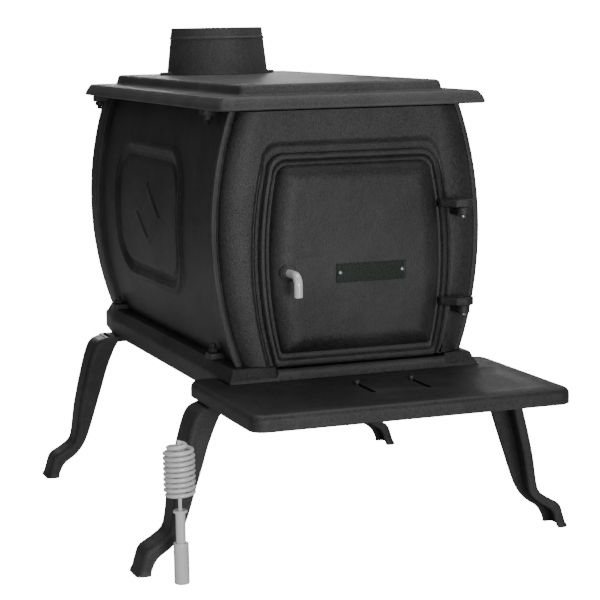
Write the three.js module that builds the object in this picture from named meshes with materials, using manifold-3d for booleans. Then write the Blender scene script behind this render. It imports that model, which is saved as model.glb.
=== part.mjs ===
// A cast-iron box wood stove: a bowed body of bolted panels on a base plate, a moulded top
// with a flue collar, a hinged door, a hearth in front and four splayed legs, with its loose
// spring handle standing on the floor beside it. Millimetres, +Z up, door towards -Y.
import * as THREE from 'three';
import { mergeVertices } from 'three/addons/utils/BufferGeometryUtils.js';
import Module from 'manifold-3d';

const wasm = await Module();
wasm.setup();

// ---------- driving dimensions ----------
const gap = 0.3;                 // left between faces that touch
const castWall = 7;              // wall of the body castings

// heights over the floor
const baseUnderside = 249;       // feet to the underside of base plate and hearth
const baseFloor = 9;             // thickness of the base plate's floor
const railHeight = 31;           // outer face of the rail round the base plate
const curbRise = 14;             // slope from the rail up to the flat that carries the panels
const bodyHeight = 382;          // front, back and side panels
const corniceHeight = 20;        // sloping edge of the top plate
const plateauHeight = 16;        // raised cook top over the ledge
const collarHeight = 82;         // flue collar over the cook top

// body plan, y measured back from the front edge of the top plate
const bodyHalfWidth = 217.5;     // at the widest height
const bowRadius = 570;           // of the bowed sides, seen from the front
const bowCentreRise = 193;       // widest height over the bottom of the panels
const frontFlangeY = 40;         // front face of the front panel's flange
const frontFaceY = 20;           // front face of its raised middle
const frontFlangeWidth = 11;
const frontRollWidth = 38;       // rounded shoulder between flange and face
const frontBandHeight = 20;      // flat band under the top plate
const frontBandBack = 3;         // the band behind the raised middle
const sideInset = 8;             // side panels stand inside the front and back panels
const backWrapDepth = 65;        // how far the back panel reaches round the sides
const corniceBackOverhang = 24;  // top plate past the back panel
const backEdgeRound = 16;

// top plate and flue collar
const corniceSideLap = 29.25;    // past the body's top edge
const corniceDepth = 799;
const corniceTopInset = 10;
const corniceCorner = 12;
const plateauInset = 50;
const plateauBackInset = 36;
const plateauBevel = 5;
const topThickness = 9;
const collarFromBack = 131;      // collar's middle to the top plate's back edge
const collarBaseRadius = 90.5;
const collarTopRadius = 81;
const collarWall = 5;
const collarBeadDrop = 18;       // bead below the rim
const collarBead = 1.6;
const collarEarReach = 15;
const collarEarThickness = 4.5;
const collarEarWidth = 24;

// base plate
const baseSideLap = 19.2;        // rail past the body's bottom edge
const baseFrontY = 14;
const baseBackLap = 15;          // base plate past the back panel
const baseTaperLength = 100;     // the rear corners draw in over this length
const baseTaper = 14;
const railTopSlope = 11;         // width of the rail's sloping shoulder
const curbFlat = 27;             // width of the flat that carries the panels
const frontCurbDepth = 40;
const sillLeft = -127;            // under the door the curb is lowered to a sill
const sillRight = 150;
const sillDrop = 10;

// hearth
const hearthFrontY = -219;
const hearthHalfWidth = 246;
const hearthBackY = 88;
const hearthHeight = 24;
const hearthCorner = 22;
const hearthBevel = 7;
const hearthRim = 26;
const hearthDish = 3;            // how deep the floor lies below the rim
const hearthDishSlope = 24;
const slotMiddleX = 22;          // the two slots lie right of the stove's middle
const slotX = 44;                // from there to each slot
const slotLength = 76;
const slotWidth = 7;
const slotBackY = -36;

// door
const doorHalfWidth = 155;
const doorBowRadius = 600;
const doorBottomClear = 1.5;     // over the body's bottom edge
const doorHeight = 316;
const doorWidestRise = 158;      // widest height over the door's bottom
const doorTopCorner = 28;
const doorRimThickness = 7.5;
const doorWall = 6;
const doorPillow = 18;           // how far the raised middle stands out of the rim
const doorPillowRoll = 28;
const doorRimSide = 27;
const doorRimTop = 16;
const doorRimBottom = 21;
const doorLap = 17;              // rim lying over the edge of the opening
const surroundWidth = 9;         // groove in the panel round the door
const surroundDepth = 4;

// hinges
const hingeOut = 14;             // hinge line past the door's widest edge
const hingeY = -6;
const hingeEarRises = [227, 77]; // underside of the door's ears over the body's bottom
const hingeEarThickness = 12.5;
const hingeEarRadius = 16;
const hingeEarRoot = 118;        // x where an ear grows out of the door
const hingeLugDrop = 12.5;       // lug's underside below the ear's underside
const hingeLugThickness = 12.2;
const hingeLugRadius = 10;
const hingePinRadius = 4;
const hingePinClear = 0.5;
const hingePinTail = 4.5;        // pin's end below the lug
const hingePinSink = 2;          // and below the ear's top

// latch
const latchIn = 41;              // shaft inside the door's widest edge
const latchRise = 143;           // shaft over the body's bottom
const latchRodRadius = 6.35;
const latchReach = 40;           // door boss to the hanging part's centre line
const latchBend = 14;
const latchHang = 38;
const latchBossRadius = 13;
const latchBossProud = 2;        // boss face in front of the door's face
const latchWasherRadius = 11.5;
const latchWasherThickness = 3;
const latchBoreClear = 0.5;
const pawlLength = 38;
const pawlWidth = 16;
const pawlThickness = 6;
const pawlBehindPanel = 6;
const latchNutRadius = 10;
const latchNutThickness = 6;

// blank plate on the door
const plateWidth = 111;
const plateHeight = 33;
const plateThickness = 1.2;
const plateX = 22;
const plateRise = 136;
const rivetRadius = 3.2;
const rivetInset = 5.5;
const rivetHeight = 1.8;

// side panel frame: a long rounded cartouche
const cartoucheFromBack = 360;   // its middle to the back face
const cartoucheRise = 198;
const cartoucheLength = 384;
const cartoucheHeight = 232;
const cartoucheCorner = 76;
const cartoucheBand = 20;
const cartoucheProud = 3;

// legs: one casting, a gutter with a long and a short wing
const legWall = 7;
const legTopWidth = 60;
const legSoleWidth = 50;
const legShortWing = 17;
const legFrontY = 26;
const legFromBack = 89;          // rear leg's middle to the back face
const legBackInset = 17;         // rear feet stand closer together
const legPadInner = 30;          // pad inwards of the bolt
const legPadThickness = 9;
const legBoltIn = 25;            // bolt inside the base plate's side
// knee and ankle lines of the leg: [distance outside the bolt, share of the leg's drop]
const legOuter = [[58, 0], [80, 0.036], [92, 0.129], [106, 0.337], [116, 0.518], [122, 0.679],
  [128, 0.751], [144, 0.8], [163, 0.847], [172, 0.928], [178, 1]];
const legInner = [[28, 0], [44, 0.056], [62, 0.217], [73, 0.357], [86, 0.518], [97, 0.655],
  [108, 0.759], [123, 0.835], [144, 0.896], [153, 0.956], [156, 1]];

// bolts
const boltRadius = 4.5;
const boltClear = 0.4;
const nutRadius = 9;
const nutHeight = 7;
const boltTail = 6;
const boltIntoBase = 6;          // leg bolt's tip in the base plate's floor
const lugDepth = 26;
const lugThickness = 10;
const lugPastBolt = 10;
const lugBoltStandoff = 15.4;    // bolt's middle outside the panel that carries the lug
const frontLugY = 125;
const rearBaseLugClear = 8.7;    // lug to the side panel's rear end
const rearTopLugClear = 19;      // lug to the back panel's wrapped edge

// grate and draft slide
const grateSideClear = 17;       // to the sides of the well
const grateFrontY = 130;
const grateFromBack = 75;
const grateThickness = 10;
const grateRise = 16;
const grateSlots = 9;
const grateSlotWidth = 16;
const grateFoot = 20;
const portHalfWidth = 55;
const portFrontY = 70;
const portDepth = 30;
const slideSideLap = 23;         // slide past the port's sides
const slideThickness = 5;
const slideLap = 7;              // plate past the port's rear edge
const slideFrontY = -130;
const strapThickness = 4;
const strapDepth = 14;
const strapFoot = 14;
const strapClear = 2;
const strapYs = [-118, -8];
const knobStemRadius = 2.8;
const knobRadius = 5;
const knobHeight = 6;

// loose spring handle
const handleX = -302;
const handleY = -49;
const socketRadius = 11.3;
const socketHeight = 61;
const socketBore = 7.3;
const socketDepth = 45;
const handleRodRadius = 7.2;
const handleRodTop = 105;
const handleWasherRadius = 10.5;
const handleWasherThickness = 4;
const handleCoreRadius = 2.8;
const coilRadius = 20.6;         // to the wire's centre
const wireRadius = 3;
const coilPitch = 8.8;
const coilTurns = 7;
const coilBottom = 129;
const coilInTurns = 0.6;         // flat spiral from the core out to the coil
const coilDomeTurns = 1.3;       // spiral back to the core at the top

// ---------- worked out ----------
const bodyBottom = baseUnderside + railHeight + curbRise + gap;
const bodyTop = bodyBottom + bodyHeight;
const corniceBottom = bodyTop + gap;
const ledgeTop = corniceBottom + corniceHeight;
const cookTop = ledgeTop + plateauHeight;
const collarBottom = cookTop + gap;
const collarTop = cookTop + collarHeight;
const bowCentre = bodyBottom + bowCentreRise;
const doorBottom = bodyBottom + doorBottomClear;
const doorTop = doorBottom + doorHeight;
const doorBackY = frontFaceY - gap;
const doorRimY = doorBackY - doorRimThickness;
const doorFaceY = doorRimY - doorPillow;
const latchZ = bodyBottom + latchRise;
const frontBackY = frontFlangeY + castWall;
const corniceHalfWidth = bodyHalf(bodyTop) + corniceSideLap;
const baseHalfWidth = bodyHalf(bodyBottom) + baseSideLap;
const wellHalfWidth = baseHalfWidth - railTopSlope - curbFlat;
const grateHalfWidth = wellHalfWidth - grateSideClear;
const slideHalfWidth = portHalfWidth + slideSideLap;
const legBoltX = baseHalfWidth - legBoltIn;
const hingeX = doorHalfWidth + hingeOut;
const latchX = latchIn - doorHalfWidth;
const backFaceY = corniceDepth - corniceBackOverhang;
const wrapY = backFaceY - backWrapDepth;     // edge of the back panel's wrap
const sideBackY = wrapY - gap;
const baseBackY = backFaceY + baseBackLap;
const baseTaperStartY = baseBackY - baseTaperLength;
const collarY = corniceDepth - collarFromBack;
const cartoucheY = backFaceY - cartoucheFromBack;
const legBackY = backFaceY - legFromBack;
const grateBackY = backFaceY - grateFromBack;

// ---------- geometry helpers ----------
const roundSides = 20;
const far = 3 * corniceDepth;    // past everything, for cuts

function solid(geometry) {
  const g = geometry.clone();
  g.deleteAttribute('normal');
  g.deleteAttribute('uv');
  const m = mergeVertices(g, 1e-4);
  return new wasm.Manifold(new wasm.Mesh({
    numProp: 3,
    vertProperties: new Float32Array(m.attributes.position.array),
    triVerts: new Uint32Array(m.index.array),
  }));
}

function geometryOf(body) {
  const mesh = body.getMesh();
  const g = new THREE.BufferGeometry();
  g.setAttribute('position', new THREE.BufferAttribute(new Float32Array(mesh.vertProperties), 3));
  g.setIndex(new THREE.BufferAttribute(new Uint32Array(mesh.triVerts), 1));
  return g;
}

function box(x0, x1, y0, y1, z0, z1) {
  const g = new THREE.BoxGeometry(x1 - x0, y1 - y0, z1 - z0);
  return solid(g.translate((x0 + x1) / 2, (y0 + y1) / 2, (z0 + z1) / 2));
}

function shapeOf(points) {
  return new THREE.Shape(points.map(([u, v]) => new THREE.Vector2(u, v)));
}

function extruded(points, depth) {
  return new THREE.ExtrudeGeometry(shapeOf(points), { depth, bevelEnabled: false, steps: 1 });
}

// plan outline (x, y) raised from z0 to z1
function prism(points, z0, z1) {
  return solid(extruded(points, z1 - z0).translate(0, 0, z0));
}

// front outline (x, z) carried from y0 back to y1
function slab(points, y0, y1) {
  return solid(extruded(points, y1 - y0).rotateX(Math.PI / 2).translate(0, y1, 0));
}

// side outline (y, z) carried from x0 to x1
function sideSlab(points, x0, x1) {
  const turn = new THREE.Matrix4().makeBasis(
    new THREE.Vector3(0, 1, 0), new THREE.Vector3(0, 0, 1), new THREE.Vector3(1, 0, 0));
  return solid(extruded(points, x1 - x0).applyMatrix4(turn).translate(x0, 0, 0));
}

// closed skin over outlines with as many points each; levels run the way the outlines face
function skinned(outlines, place) {
  const n = outlines[0].length;
  const last = (outlines.length - 1) * n;
  const corners = outlines.flatMap((outline, level) => outline.flatMap((p) => place(p, level)));
  const faces = [];
  for (let low = 0; low < last; low += n) {
    for (let j = 0; j < n; j++) {
      const k = (j + 1) % n;
      faces.push(low + j, low + k, low + n + k, low + j, low + n + k, low + n + j);
    }
  }
  const flat = outlines[0].map(([u, v]) => new THREE.Vector2(u, v));
  for (const [a, b, c] of THREE.ShapeUtils.triangulateShape(flat, [])) {
    faces.push(c, b, a, last + a, last + b, last + c);
  }
  const g = new THREE.BufferGeometry();
  g.setAttribute('position', new THREE.Float32BufferAttribute(corners, 3));
  g.setIndex(faces);
  return solid(g);
}

// plan outlines (x, y) stacked upwards at the given heights
function stacked(outlines, heights) {
  return skinned(outlines, ([x, y], level) => [x, y, heights[level]]);
}

// front outline that is full at y = back and rolls in by roll over a height of rise towards -Y
function pillow(outlineAt, back, rise, roll, steps = 4) {
  const turns = Array.from({ length: steps + 1 }, (_, i) => Math.PI / 2 * i / steps);
  return skinned(turns.map((a) => outlineAt(roll * (1 - Math.cos(a)))),
    ([x, z], level) => [x, back - rise * Math.sin(turns[level]), z]);
}

function cylinderZ(x, y, r, z0, z1, sides = roundSides) {
  const g = new THREE.CylinderGeometry(r, r, z1 - z0, sides).rotateX(Math.PI / 2);
  return solid(g.translate(x, y, (z0 + z1) / 2));
}

function cylinderY(x, z, r, y0, y1, sides = roundSides) {
  return solid(new THREE.CylinderGeometry(r, r, y1 - y0, sides).translate(x, (y0 + y1) / 2, z));
}

function lathed(points, x, y, sides = 24) {
  const profile = points.map(([r, z]) => new THREE.Vector2(r, z));
  return solid(new THREE.LatheGeometry(profile, sides).rotateX(Math.PI / 2).translate(x, y, 0));
}

function arc(u, v, r, from, to, steps = 4) {
  return Array.from({ length: steps + 1 }, (_, i) => {
    const a = from + (to - from) * i / steps;
    return [u + r * Math.cos(a), v + r * Math.sin(a)];
  });
}

function roundedRect(x0, x1, y0, y1, r) {
  const quarter = Math.PI / 2;
  return [...arc(x1 - r, y0 + r, r, -quarter, 0), ...arc(x1 - r, y1 - r, r, 0, quarter),
    ...arc(x0 + r, y1 - r, r, quarter, 2 * quarter), ...arc(x0 + r, y0 + r, r, -2 * quarter, -quarter)];
}

// half width of a bowed side at height z
function bowed(z, half, radius, centre) {
  return half - radius + Math.sqrt(radius * radius - (z - centre) ** 2);
}

function bodyHalf(z) {
  return bowed(z, bodyHalfWidth, bowRadius, bowCentre);
}

// points of an outline with two bowed sides and rounded upper corners
function bowedOutline(half, z0, z1, corner = 0, steps = 8) {
  const right = [];
  for (let i = 0; i <= steps; i++) {
    const z = z0 + (z1 - corner - z0) * i / steps;
    right.push([half(z), z]);
  }
  if (corner > 0) {
    right.push(...arc(half(z1 - corner) - corner, z1 - corner, corner, 0, Math.PI / 2).slice(1));
  }
  const left = right.map(([x, z]) => [-x, z]).reverse();
  return [...right, ...left];
}

const doorCentre = doorBottom + doorWidestRise;
function doorOutline(side, top, bottom) {
  const half = (z) => bowed(z, doorHalfWidth, doorBowRadius, doorCentre) - side;
  const corner = Math.max(doorTopCorner - Math.max(side, 0) / 2, 8);
  return bowedOutline(half, doorBottom + bottom, doorTop - top, corner);
}

// ---------- materials ----------
function paint(color, roughness, metalness) {
  return new THREE.MeshStandardMaterial({ color, roughness, metalness });
}
const blackIron = paint(0x2c2c2d, 0.62, 0.35);
const darkIron = paint(0x232324, 0.7, 0.35);
const zinc = paint(0xb9bcc0, 0.35, 0.9);
const chrome = paint(0xe6e7e9, 0.15, 1.0);
const enamel = paint(0x14221b, 0.35, 0.1);

const stove = new THREE.Group();
stove.name = 'wood_stove';
// the origin lies on the floor under the middle of the whole
stove.position.y = -(hearthFrontY + corniceDepth) / 2;

function add(name, body, material) {
  const geometry = body.isBufferGeometry ? body : geometryOf(body);
  const mesh = new THREE.Mesh(geometry, material);
  mesh.name = name;
  stove.add(mesh);
  return mesh;
}

// ---------- bolts ----------
const sides = [['left', -1], ['right', 1]];
const legHeight = baseUnderside - gap;
const legs = [['front', legFrontY, 0], ['rear', legBackY, legBackInset]];

// a lug sits on a panel that stands inside the body's bow by inset
function lugPlace(y, z, inset) {
  return { x: bodyHalf(z) - inset + lugBoltStandoff, y, inner: bodyHalf(z) - inset - castWall / 2 };
}
const frontTopLug = lugPlace(frontLugY, bodyTop, sideInset);
const frontBaseLug = lugPlace(frontLugY, bodyBottom, sideInset);
const rearBaseLug = lugPlace(sideBackY - rearBaseLugClear - lugDepth / 2, bodyBottom, sideInset);
const rearTopLug = lugPlace(wrapY + rearTopLugClear + lugDepth / 2, bodyTop, 0);
const topLugs = [['front', frontTopLug], ['rear', rearTopLug]];
const baseLugs = [['front', frontBaseLug], ['rear', rearBaseLug]];

// hexagon head or nut with its shank, from shank foot to shank tip
function bolt(x, y, nutZ, shankZ0, shankZ1) {
  const shank = cylinderZ(x, y, boltRadius, shankZ0, shankZ1, 12);
  return shank.add(cylinderZ(x, y, nutRadius, nutZ, nutZ + nutHeight, 6));
}

function boltHole(x, y, z0, z1) {
  return cylinderZ(x, y, boltRadius + boltClear, z0, z1, 12);
}

function lug(sx, place, z0) {
  const x = [sx * place.inner, sx * (place.x + lugPastBolt)].sort((a, b) => a - b);
  const block = box(x[0], x[1], place.y - lugDepth / 2, place.y + lugDepth / 2, z0, z0 + lugThickness);
  return block.subtract(boltHole(sx * place.x, place.y, z0 - 1, z0 + lugThickness + 1));
}

function addCornerBolts() {
  const under = bodyTop - lugThickness - gap - nutHeight;
  const over = bodyBottom + lugThickness + gap;
  const foot = baseUnderside + baseFloor + gap;
  for (const [side, sx] of sides) {
    for (const [end, { x, y }] of topLugs) {
      add(`${end}_${side}_top_bolt`, bolt(sx * x, y, under, under - boltTail, bodyTop), darkIron);
    }
    for (const [end, { x, y }] of baseLugs) {
      add(`${end}_${side}_base_bolt`, bolt(sx * x, y, over, foot, over + nutHeight + boltTail), darkIron);
    }
  }
}

// ---------- base plate ----------
function basePlan(inset) {
  const x = baseHalfWidth - inset;
  const back = baseBackY - inset;
  return [[-x, baseFrontY + inset], [x, baseFrontY + inset], [x, baseTaperStartY],
    [x - baseTaper, back], [baseTaper - x, back], [-x, baseTaperStartY]];
}

function basePlate() {
  // the rail's sloping shoulder runs all round, up to the flat that carries the panels
  const railTop = baseUnderside + railHeight;
  let body = stacked([basePlan(0), basePlan(0), basePlan(railTopSlope)],
    [baseUnderside, railTop, railTop + curbRise]);
  const well = basePlan(railTopSlope + curbFlat);
  well[0][1] = baseFrontY + railTopSlope + frontCurbDepth;
  well[1][1] = well[0][1];
  body = body.subtract(prism(well, baseUnderside + baseFloor, bodyTop));
  const port = box(-portHalfWidth, portHalfWidth, portFrontY, portFrontY + portDepth, 0, bodyTop);
  body = body.subtract(port);
  const sill = railTop + curbRise - sillDrop;
  body = body.subtract(box(sillLeft, sillRight, 0, well[0][1] + 1, sill, bodyTop));
  for (const [, sx] of sides) {
    for (const [, { x, y }] of baseLugs) {
      body = body.subtract(boltHole(sx * x, y, baseUnderside + baseFloor, bodyTop));
    }
    for (const [, y, inset] of legs) {
      body = body.subtract(boltHole(sx * (legBoltX - inset), y, 0, baseUnderside + boltIntoBase + gap));
    }
  }
  return body;
}

// ---------- hearth ----------
const hearthTop = baseUnderside + hearthHeight;

function hearth() {
  const hw = hearthHalfWidth;
  const notch = baseHalfWidth + gap;
  const block = (inset) => roundedRect(-hw + inset, hw - inset, hearthFrontY + inset, hearthBackY - inset,
    hearthCorner - inset);
  const round = [0, 0.35, 1].map((k) => k * hearthBevel);
  let body = stacked([block(0), block(0), block(round[1]), block(round[2])],
    [baseUnderside, hearthTop - hearthBevel, hearthTop - round[1], hearthTop]);
  body = body.subtract(box(-notch, notch, baseFrontY - gap, hearthBackY + 1, 0, hearthTop + 1));
  const dish = (inset) => roundedRect(-hw + inset, hw - inset, hearthFrontY + inset, baseFrontY - inset,
    hearthCorner);
  body = body.subtract(stacked([dish(hearthRim + hearthDishSlope), dish(hearthRim), dish(hearthRim)],
    [hearthTop - hearthDish, hearthTop, hearthTop + 1]));
  for (const [, sx] of sides) {
    const x = slotMiddleX + sx * slotX;
    const slot = roundedRect(x - slotWidth / 2, x + slotWidth / 2, slotBackY - slotLength, slotBackY,
      slotWidth * 0.45);
    body = body.subtract(prism(slot, baseUnderside - 1, hearthTop + 1));
  }
  return body;
}

// ---------- body panels ----------
function bodyOutline(side, top, bottom) {
  return bowedOutline((z) => bodyHalf(z) - side, bodyBottom + bottom, bodyTop - top);
}

const frontRise = frontFlangeY - frontFaceY;

function frontPanel() {
  const above = box(-far, far, -far, far, bodyBottom, bodyTop);
  const past = -2 * frontRollWidth;      // the face runs straight down past the bottom edge
  let body = slab(bodyOutline(0, 0, 0), frontFlangeY, frontBackY);
  const face = (d, top) => bodyOutline(frontFlangeWidth + d, top, past);
  const roll = (d) => face(d, frontBandHeight);
  body = body.add(pillow(roll, frontFlangeY + 1, frontRise + 1, frontRollWidth).intersect(above));
  const band = bodyOutline(0, 0, bodyHeight - frontBandHeight);
  body = body.add(slab(band, frontFaceY + frontBandBack, frontFlangeY + 1));
  const ring = (out) => doorOutline(-out, -out, -out);
  body = body.subtract(slab(ring(surroundWidth), -far, frontFaceY + surroundDepth)
    .subtract(slab(ring(0), -far, far)));
  const hollow = (d) => face(d + castWall, castWall);
  body = body.subtract(pillow(hollow, frontBackY + 1, frontRise + 1, frontRollWidth - castWall));
  body = body.subtract(slab(doorOutline(doorLap, doorLap, doorLap), -far, far));
  for (const rise of hingeEarRises) {
    body = body.add(hingeLug(bodyBottom + rise - hingeLugDrop));
  }
  return body;
}

function hingeLug(z0) {
  const root = frontFaceY + castWall - 1;
  const outline = [[hingeX - hingeLugRadius, root],
    ...arc(hingeX, hingeY, hingeLugRadius, Math.PI, 2 * Math.PI, 8), [hingeX + hingeLugRadius, root]];
  const body = prism(outline, z0, z0 + hingeLugThickness);
  const over = z0 + hingeLugThickness + 1;
  return body.subtract(cylinderZ(hingeX, hingeY, hingePinRadius + gap, z0 - 1, over, 16));
}

function backPanel() {
  const edge = backFaceY - backEdgeRound;
  let body = slab(bodyOutline(0, 0, 0), wrapY, edge + 0.01);
  const rounded = pillow((d) => bodyOutline(d, d, 0), -edge, backEdgeRound, backEdgeRound);
  body = body.add(rounded.mirror([0, 1, 0]));
  // open above and below, so that the flue and the ash well stay clear
  body = body.subtract(slab(bodyOutline(castWall, -1, -1), wrapY - 1, backFaceY - castWall));
  for (const [, sx] of sides) {
    body = body.add(lug(sx, rearTopLug, bodyTop - lugThickness));
  }
  return body;
}

function cartoucheRing(inset) {
  const y = cartoucheY;
  const z = bodyBottom + cartoucheRise;
  const l = cartoucheLength / 2 - inset;
  const h = cartoucheHeight / 2 - inset;
  return roundedRect(y - l, y + l, z - h, z + h, cartoucheCorner - inset * 0.6);
}

function sidePanel(sx) {
  const front = frontBackY + gap;
  const band = (out, inn) => slab(bodyOutline(sideInset - out, 0, 0), front, sideBackY)
    .subtract(slab(bodyOutline(sideInset + inn, -1, -1), front - 1, sideBackY + 1));
  let body = band(0, castWall);
  const frame = sideSlab(cartoucheRing(0), -far, far)
    .subtract(sideSlab(cartoucheRing(cartoucheBand), -far - 1, far + 1));
  body = body.add(band(cartoucheProud, castWall / 2).intersect(frame));
  body = body.intersect(sx < 0 ? box(-far, -1, 0, far, 0, far) : box(1, far, 0, far, 0, far));
  body = body.add(lug(sx, frontTopLug, bodyTop - lugThickness));
  for (const [, place] of baseLugs) {
    body = body.add(lug(sx, place, bodyBottom));
  }
  return body;
}

// ---------- top plate and collar ----------
function topPlate() {
  const w = corniceHalfWidth;
  const outline = (d) => roundedRect(-w + d, w - d, d, corniceDepth - d, corniceCorner - d / 2);
  let body = stacked([outline(0), outline(corniceTopInset)], [corniceBottom, ledgeTop]);
  const p = plateauInset;
  const plateau = (d) => roundedRect(-w + p + d, w - p - d, p + d, corniceDepth - plateauBackInset - d,
    corniceCorner - d / 2);
  body = body.add(stacked([plateau(0), plateau(0), plateau(plateauBevel / 4), plateau(plateauBevel)],
    [ledgeTop - 1, cookTop - plateauBevel, cookTop - plateauBevel / 4, cookTop]));
  const q = p + topThickness;
  const hollow = roundedRect(-w + q, w - q, q, corniceDepth - plateauBackInset - topThickness, corniceCorner);
  body = body.subtract(prism(hollow, corniceBottom - 1, cookTop - topThickness));
  return body.subtract(cylinderZ(0, collarY, collarTopRadius - collarWall, 0, cookTop + 1, 24));
}

function flueCollar() {
  const bore = collarTopRadius - collarWall;
  const beadZ = collarTop - collarBeadDrop;
  const taper = (collarTopRadius - collarBaseRadius) / (collarTop - collarBottom);
  const outside = (z, proud = 0) => [collarBaseRadius + taper * (z - collarBottom) + proud, z];
  let body = lathed([[bore, collarBottom], outside(collarBottom), outside(beadZ - 3),
    outside(beadZ - 1.5, collarBead), outside(beadZ + 1.5, collarBead), outside(beadZ + 3),
    outside(collarTop), [bore, collarTop], [bore, collarBottom]], 0, collarY);
  for (const [, sx] of sides) {
    const x = [sx * (bore + 3), sx * (collarBaseRadius + collarEarReach)].sort((a, b) => a - b);
    const ear = roundedRect(x[0], x[1], collarY - collarEarWidth / 2, collarY + collarEarWidth / 2, 6);
    body = body.add(prism(ear, collarBottom, collarBottom + collarEarThickness));
    body = body.subtract(boltHole(sx * collarBoltX, collarY, collarBottom - 1, collarTop));
  }
  return body;
}

const collarBoltX = collarBaseRadius + collarEarReach / 2 + 2;

function addCollarBolts() {
  const top = collarBottom + collarEarThickness;
  for (const [side, sx] of sides) {
    const screw = cylinderZ(sx * collarBoltX, collarY, boltRadius, collarBottom, top, 12);
    add(`${side}_collar_bolt`, screw, darkIron);
  }
}

// ---------- door ----------
function door() {
  let body = slab(doorOutline(0, 0, 0), doorRimY, doorBackY);
  const face = (d) => doorOutline(doorRimSide + d, doorRimTop + d, doorRimBottom + d);
  body = body.add(pillow(face, doorRimY + 0.5, doorPillow + 0.5, doorPillowRoll));
  const w = doorWall;
  const back = doorBackY + 1;
  body = body.subtract(pillow((d) => face(d + w), back, back - doorFaceY - w, doorPillowRoll - w));
  body = body.add(cylinderY(latchX, latchZ, latchBossRadius, doorFaceY - latchBossProud, pawlFrontY - gap));
  body = body.subtract(cylinderY(latchX, latchZ, latchRodRadius + latchBoreClear, -far, far));
  for (const rise of hingeEarRises) {
    body = body.add(hingeEar(bodyBottom + rise));
  }
  return body;
}

function hingeEar(z0) {
  const outline = [[hingeEarRoot, doorRimY + 1], [hingeEarRoot, doorFaceY + doorWall],
    [hingeX - hingeEarRadius, hingeY - hingeEarRadius],
    ...arc(hingeX, hingeY, hingeEarRadius, -Math.PI / 2, Math.PI / 4, 8),
    [hingeX - hingeEarRadius, doorRimY + 1]];
  const body = prism(outline, z0, z0 + hingeEarThickness);
  return body.subtract(cylinderZ(hingeX, hingeY, hingePinRadius + hingePinClear, z0 - 1, z0 + 20, 16));
}

function hingePin(z0) {
  const top = z0 + hingeEarThickness - hingePinSink;
  return cylinderZ(hingeX, hingeY, hingePinRadius, z0 - hingeLugDrop - hingePinTail, top, 16);
}

// ---------- latch ----------
const pawlFrontY = frontFaceY + castWall + pawlBehindPanel;
const latchTailY = pawlFrontY + pawlThickness + gap + latchNutThickness + 3;

function latchLever() {
  const hangY = doorFaceY - latchBossProud - latchReach;
  const path = new THREE.CurvePath();
  const p = (y, z) => new THREE.Vector3(latchX, y, z);
  path.add(new THREE.LineCurve3(p(latchTailY, latchZ), p(hangY + latchBend, latchZ)));
  path.add(new THREE.QuadraticBezierCurve3(p(hangY + latchBend, latchZ), p(hangY, latchZ),
    p(hangY, latchZ - latchBend)));
  path.add(new THREE.LineCurve3(p(hangY, latchZ - latchBend), p(hangY, latchZ - latchHang)));
  const section = shapeOf(arc(0, 0, latchRodRadius, 0, 2 * Math.PI, 12).slice(1));
  return solid(new THREE.ExtrudeGeometry(section, { steps: 20, bevelEnabled: false, extrudePath: path }));
}

function ringY(x, z, radius, bore, y0, y1, n = roundSides) {
  return cylinderY(x, z, radius, y0, y1, n).subtract(cylinderY(x, z, bore, y0 - 1, y1 + 1));
}

function latchWasher() {
  const y = doorFaceY - latchBossProud - gap;
  return ringY(latchX, latchZ, latchWasherRadius, latchRodRadius + gap, y - latchWasherThickness, y);
}

// the pawl hangs down beside the opening; a quarter turn takes it behind the panel's edge
function latchPawl() {
  const s = roundedRect(latchX - pawlWidth / 2, latchX + pawlWidth / 2, latchZ - pawlLength,
    latchZ + latchBossRadius, pawlWidth * 0.4);
  const body = slab(s, pawlFrontY, pawlFrontY + pawlThickness)
    .add(cylinderY(latchX, latchZ, latchBossRadius, pawlFrontY, pawlFrontY + pawlThickness));
  return body.subtract(cylinderY(latchX, latchZ, latchRodRadius + gap, -far, far));
}

function latchNut() {
  const y = pawlFrontY + pawlThickness + gap;
  return ringY(latchX, latchZ, latchNutRadius, latchRodRadius + gap, y, y + latchNutThickness, 6);
}

// ---------- blank plate ----------
function addDoorPlate() {
  const z = bodyBottom + plateRise;
  const back = doorFaceY - gap;
  const plate = roundedRect(plateX - plateWidth / 2, plateX + plateWidth / 2, z - plateHeight / 2,
    z + plateHeight / 2, 2);
  add('door_plate', slab(plate, back - plateThickness, back), enamel);
  for (const [side, sx] of sides) {
    const head = back - plateThickness - gap;
    const x = plateX + sx * (plateWidth / 2 - rivetInset);
    add(`${side}_plate_rivet`, cylinderY(x, z, rivetRadius, head - rivetHeight, head, 12), zinc);
  }
}

// ---------- legs ----------
function legLine(points) {
  const knots = points.map(([x, share]) => new THREE.Vector2(x, legHeight * (1 - share)));
  return new THREE.SplineCurve(knots).getPoints(2 * points.length).map((p) => [p.x, p.y]);
}

// a line moved sideways towards the stove, run on past both ends
function movedIn(line, by) {
  const moved = line.map(([x, z], i) => {
    const a = line[Math.max(i - 1, 0)];
    const b = line[Math.min(i + 1, line.length - 1)];
    const n = Math.hypot(b[0] - a[0], b[1] - a[1]);
    return [x + by * (b[1] - a[1]) / n, z - by * (b[0] - a[0]) / n];
  });
  const last = moved[moved.length - 1];
  return [...moved, [last[0] + 4, -20]];
}

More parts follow.
